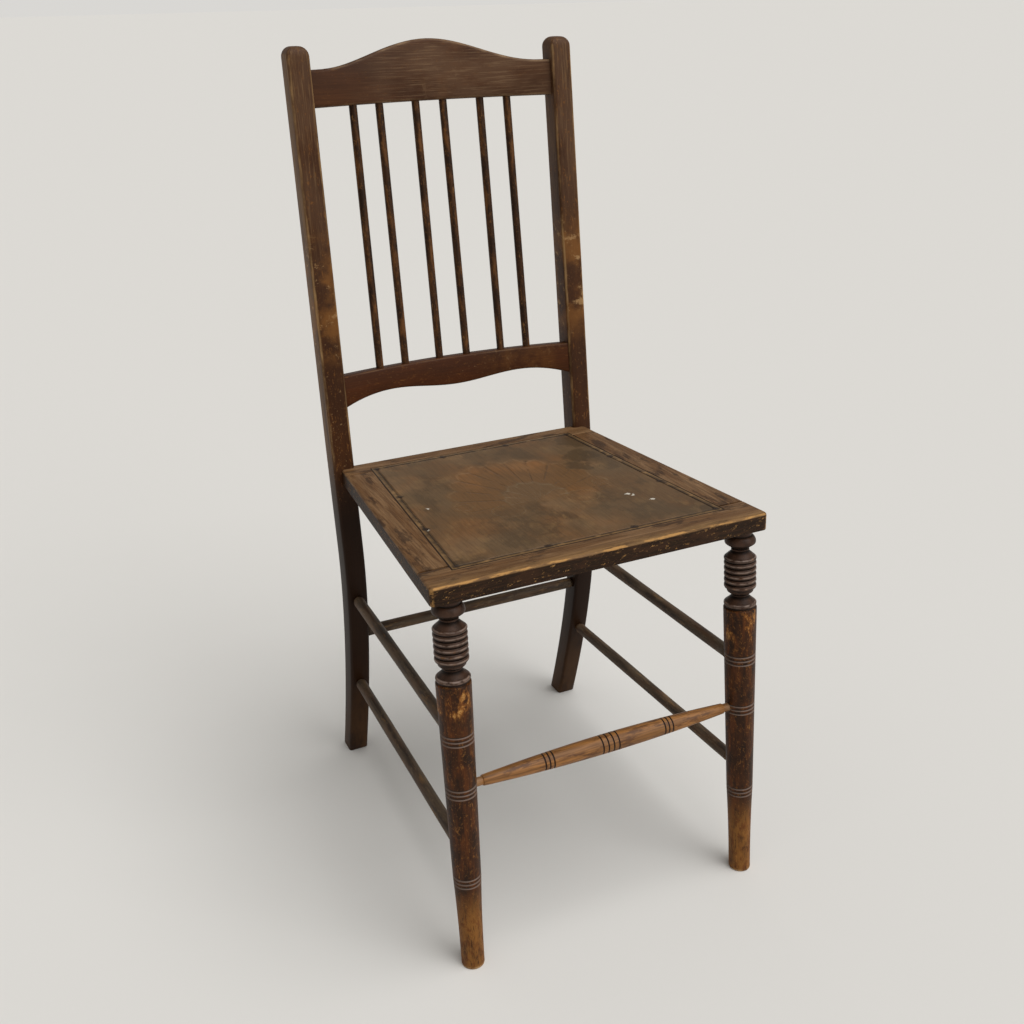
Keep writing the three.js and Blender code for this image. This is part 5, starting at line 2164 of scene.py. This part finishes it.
    def shoulders(
        self, start: Vector, start_surface: float, end: Vector, end_surface: float, bare: float
    ) -> tuple[Vector, Vector, float]:
        """Find a stretcher's two shoulders between the axes that it joins.

        Args:
            start: Where its axis meets the first leg's or post's axis.
            start_surface: Distance from there to the wood's surface.
            end: The same at the other end.
            end_surface: The same at the other end.
            bare: Length of tenon that shows.

        Returns:
            The shoulders, and how far its tenons reach past them.
        """
        heading = (end - start).normalized()
        first = start + heading * (start_surface + bare)
        last = end - heading * (end_surface + bare)
        return first, last, bare + self.reach

    def build_bar(
        self,
        name: str,
        node: str,
        ends: tuple[Vector, Vector, float],
        radii: tuple[float, float],
        finish: bpy.types.Material,
        shift: float,
    ) -> None:
        """Make one plain stretcher with a rounded shoulder at each end.

        Args:
            name: The piece's name.
            node: The CAD node that it replaces.
            ends: Its shoulders, and how far its tenons reach past them.
            radii: Its radius and its tenons' radius.
            finish: Its material.
            shift: Distance that its pattern is moved.
        """
        start, end, reach = ends
        radius, tenon = radii
        span = (end - start).length
        ease = radius - tenon
        shoulder = self.bar_ease * ease
        outline = Turning(-reach)
        outline.to(-reach, tenon)
        outline.to(0.0, tenon)
        outline.bulge(shoulder, radius, ease * self.bar_swell, steps=6)
        outline.sweep(
            span - shoulder,
            lambda at: radius + self.bar_waver * math.sin(at / self.bar_waver_length),
            spacing=22.0,
        )
        outline.bulge(span, tenon, ease * self.bar_swell, steps=6)
        outline.to(span + reach, tenon)
        bar = outline.spin(name, self.bar_sides)

        def bare(at: Vector) -> Triple:
            """Return how far a place is rubbed bare, from 0 on the bar to 1 on a tenon."""
            past = min(at.z, span - at.z)
            return 0.0, clamp((self.rub_start - past) / self.rub_length), 0.0

        mark(bar, "work", lambda at: at)
        mark(bar, "relief", bare)
        settle(bar, aimed(start, end))
        self.trim.fit(bar, finish, "stretcher_wood", node, shift)

    def build_plain_stretchers(self) -> None:
        """Make the side stretchers and the rear one."""
        finish = DullStain().material()
        for side in Hand:
            hand = side.name.lower()
            for number, (level, at_post, at_leg) in enumerate(self.side_levels):
                leg_point = self.leg_axis(at_leg)
                post_point = self.back.middle_line(at_post)
                for point in (leg_point, post_point):
                    point.x *= side.value
                in_post = self.back.depth(at_post) / 2
                ends = self.shoulders(leg_point, self.column(at_leg), post_point, in_post, self.side_bare)
                self.build_bar(
                    f"side_bar_{level}_{hand}",
                    f"side_stretcher_{level}_{hand}",
                    ends,
                    (self.side_radius, self.side_tenon),
                    finish,
                    self.level_shift * number + self.hand_shift * side.value,
                )
        post = self.back.middle_line(self.rear_height)
        opposite = Vector((-post.x, post.y, post.z))
        in_post = self.back.width / 2
        self.build_bar(
            "rear_bar",
            "rear_stretcher",
            self.shoulders(opposite, in_post, post, in_post, 0.0),
            (self.rear_radius, self.rear_tenon),
            finish,
            self.rear_shift,
        )

    def build_front_stretcher(self) -> None:
        """Make the turned front stretcher: a long swell with three groups of cuts."""
        right = self.leg_axis(self.front_height)
        left = Vector((-right.x, right.y, right.z))
        surface = self.column(self.front_height)
        start, end, reach = self.shoulders(left, surface, right, surface, self.front_bare)
        span = (end - start).length
        half = span / 2

        def swell(at: float) -> float:
            """Return the stretcher's radius at a place, before it is cut."""
            return lerp(self.front_middle, self.front_end, (abs(at - half) / half) ** 2)

        outline = Turning(-reach)
        outline.to(-reach, self.front_tenon)
        outline.to(0.0, self.front_tenon)
        outline.bulge(self.front_shoulder, self.front_end, 0.2, steps=3)
        places = [
            half + middle + (number - (count - 1) / 2) * pitch
            for middle, count, pitch in self.cut_groups
            for number in range(count)
        ]
        for place in places:
            cut_end = place + self.cut_half
            outline.sweep(place - self.cut_half, swell, spacing=8.0)
            outline.bulge(cut_end, swell(cut_end), -self.cut_half, steps=5)
        outline.sweep(span - self.front_shoulder, swell, spacing=8.0)
        outline.bulge(span, self.front_tenon, 0.2, steps=3)
        outline.to(span + reach, self.front_tenon)
        bar = outline.spin("turned_front_bar", self.front_sides)

        def cuts(at: Vector) -> Triple:
            """Return how far a place is on a tenon, and its distance from the nearest cut."""
            past = min(at.z, span - at.z)
            return 0.0, clamp(-past * 2.0), min(abs(at.z - place) for place in places)

        mark(bar, "work", lambda at: at)
        mark(bar, "relief", cuts)
        settle(bar, aimed(start, end))
        self.trim.fit(bar, RubbedBeech().material(), "pale_worn_wood", "front_stretcher")

    def build(self) -> None:
        """Make the base."""
        self.build_legs()
        self.build_plain_stretchers()
        self.build_front_stretcher()


@dataclass
class Studio:
    """Camera at the photograph's viewing angle, a pale floor and plain soft light."""

    camera_place: Triple = (-511.9, -901.2, 943.6)
    camera_turn: float = math.radians(-24.30)
    camera_height: float = math.radians(23.85)
    camera_roll: float = math.radians(-1.37)
    focal_share: float = 1161.65 / 1024.0
    sensor: float = 36.0
    nearest: float = 0.05
    farthest: float = 500.0
    floor_colour: str = "dcdad6"
    floor_size: float = 400.0
    suns: tuple[tuple[str, Triple, float, float], ...] = (
        ("overhead", (0.5, -0.7, 2.0), 1.75, math.radians(50.0)),
        ("front", (1.2, -2.0, 1.1), 0.8, math.radians(40.0)),
    )
    sky_colour: str = "f4f2ee"
    sky_light: float = 0.42
    sky_seen: float = 0.768

    def place_camera(self) -> None:
        """Set the camera as the photograph's was."""
        turn, rise, roll = self.camera_turn, self.camera_height, self.camera_roll
        back = Vector((math.sin(turn) * math.cos(rise), -math.cos(turn) * math.cos(rise), math.sin(rise)))
        right = Vector((math.cos(turn), math.sin(turn), 0.0))
        up = back.cross(right)
        rolled_right = right * math.cos(roll) + up * math.sin(roll)
        rolled_up = up * math.cos(roll) - right * math.sin(roll)
        bpy.ops.object.camera_add(location=LAYOUT.in_frame @ Vector(self.camera_place))
        camera = bpy.context.active_object
        camera.rotation_euler = Matrix((rolled_right, rolled_up, back)).transposed().to_euler()
        camera.data.sensor_width = self.sensor
        camera.data.lens = self.focal_share * self.sensor
        camera.data.clip_start = self.nearest
        camera.data.clip_end = self.farthest
        bpy.context.scene.camera = camera

    def lay_floor(self) -> None:
        """Lay the pale floor."""
        bpy.ops.mesh.primitive_plane_add(size=self.floor_size)
        floor = bpy.context.active_object
        floor.name = "floor"
        surface = Surface("pale floor", self.floor_colour, 1.0)
        floor.data.materials.append(surface.close(Specular_IOR_Level=0.0))

    def hang_suns(self) -> None:
        """Light the chair softly from above and from in front."""
        for name, place, power, spread in self.suns:
            bpy.ops.object.light_add(type="SUN", location=place)
            lamp = bpy.context.active_object
            lamp.name = name
            lamp.data.energy = power
            lamp.data.angle = spread
            lamp.rotation_euler = (-Vector(place)).to_track_quat("-Z", "Y").to_euler()

    def hang_sky(self) -> None:
        """Fill the shadows from the world, which the camera sees brighter than it lights."""
        world = bpy.data.worlds.new("studio")
        bpy.context.scene.world = world
        world.use_nodes = True
        tree = world.node_tree
        tree.nodes.clear()
        path = add(tree, "ShaderNodeLightPath")
        strength = add(
            tree,
            "ShaderNodeMapRange",
            {"Value": path.outputs["Is Camera Ray"], "To Min": self.sky_light, "To Max": self.sky_seen},
        )
        sky = add(tree, "ShaderNodeBackground", {"Color": linear(self.sky_colour), "Strength": strength})
        add(tree, "ShaderNodeOutputWorld", {"Surface": sky})

    def build(self) -> None:
        """Set up the studio."""
        bpy.context.scene.view_settings.view_transform = "Standard"
        self.place_camera()
        self.lay_floor()
        self.hang_suns()
        self.hang_sky()


def main() -> None:
    """Build the chair and the studio, and report each piece."""
    logging.basicConfig(level=logging.INFO, format="%(name)s %(message)s")
    Studio().build()
    trim = Trim()
    back = Back(trim)
    posts = back.build()
    Seat(trim, posts).build()
    Base(trim, back).build()
    log.info("%d pieces in %d nodes", trim.count, len(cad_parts))


if __name__ == "__main__":
    main()
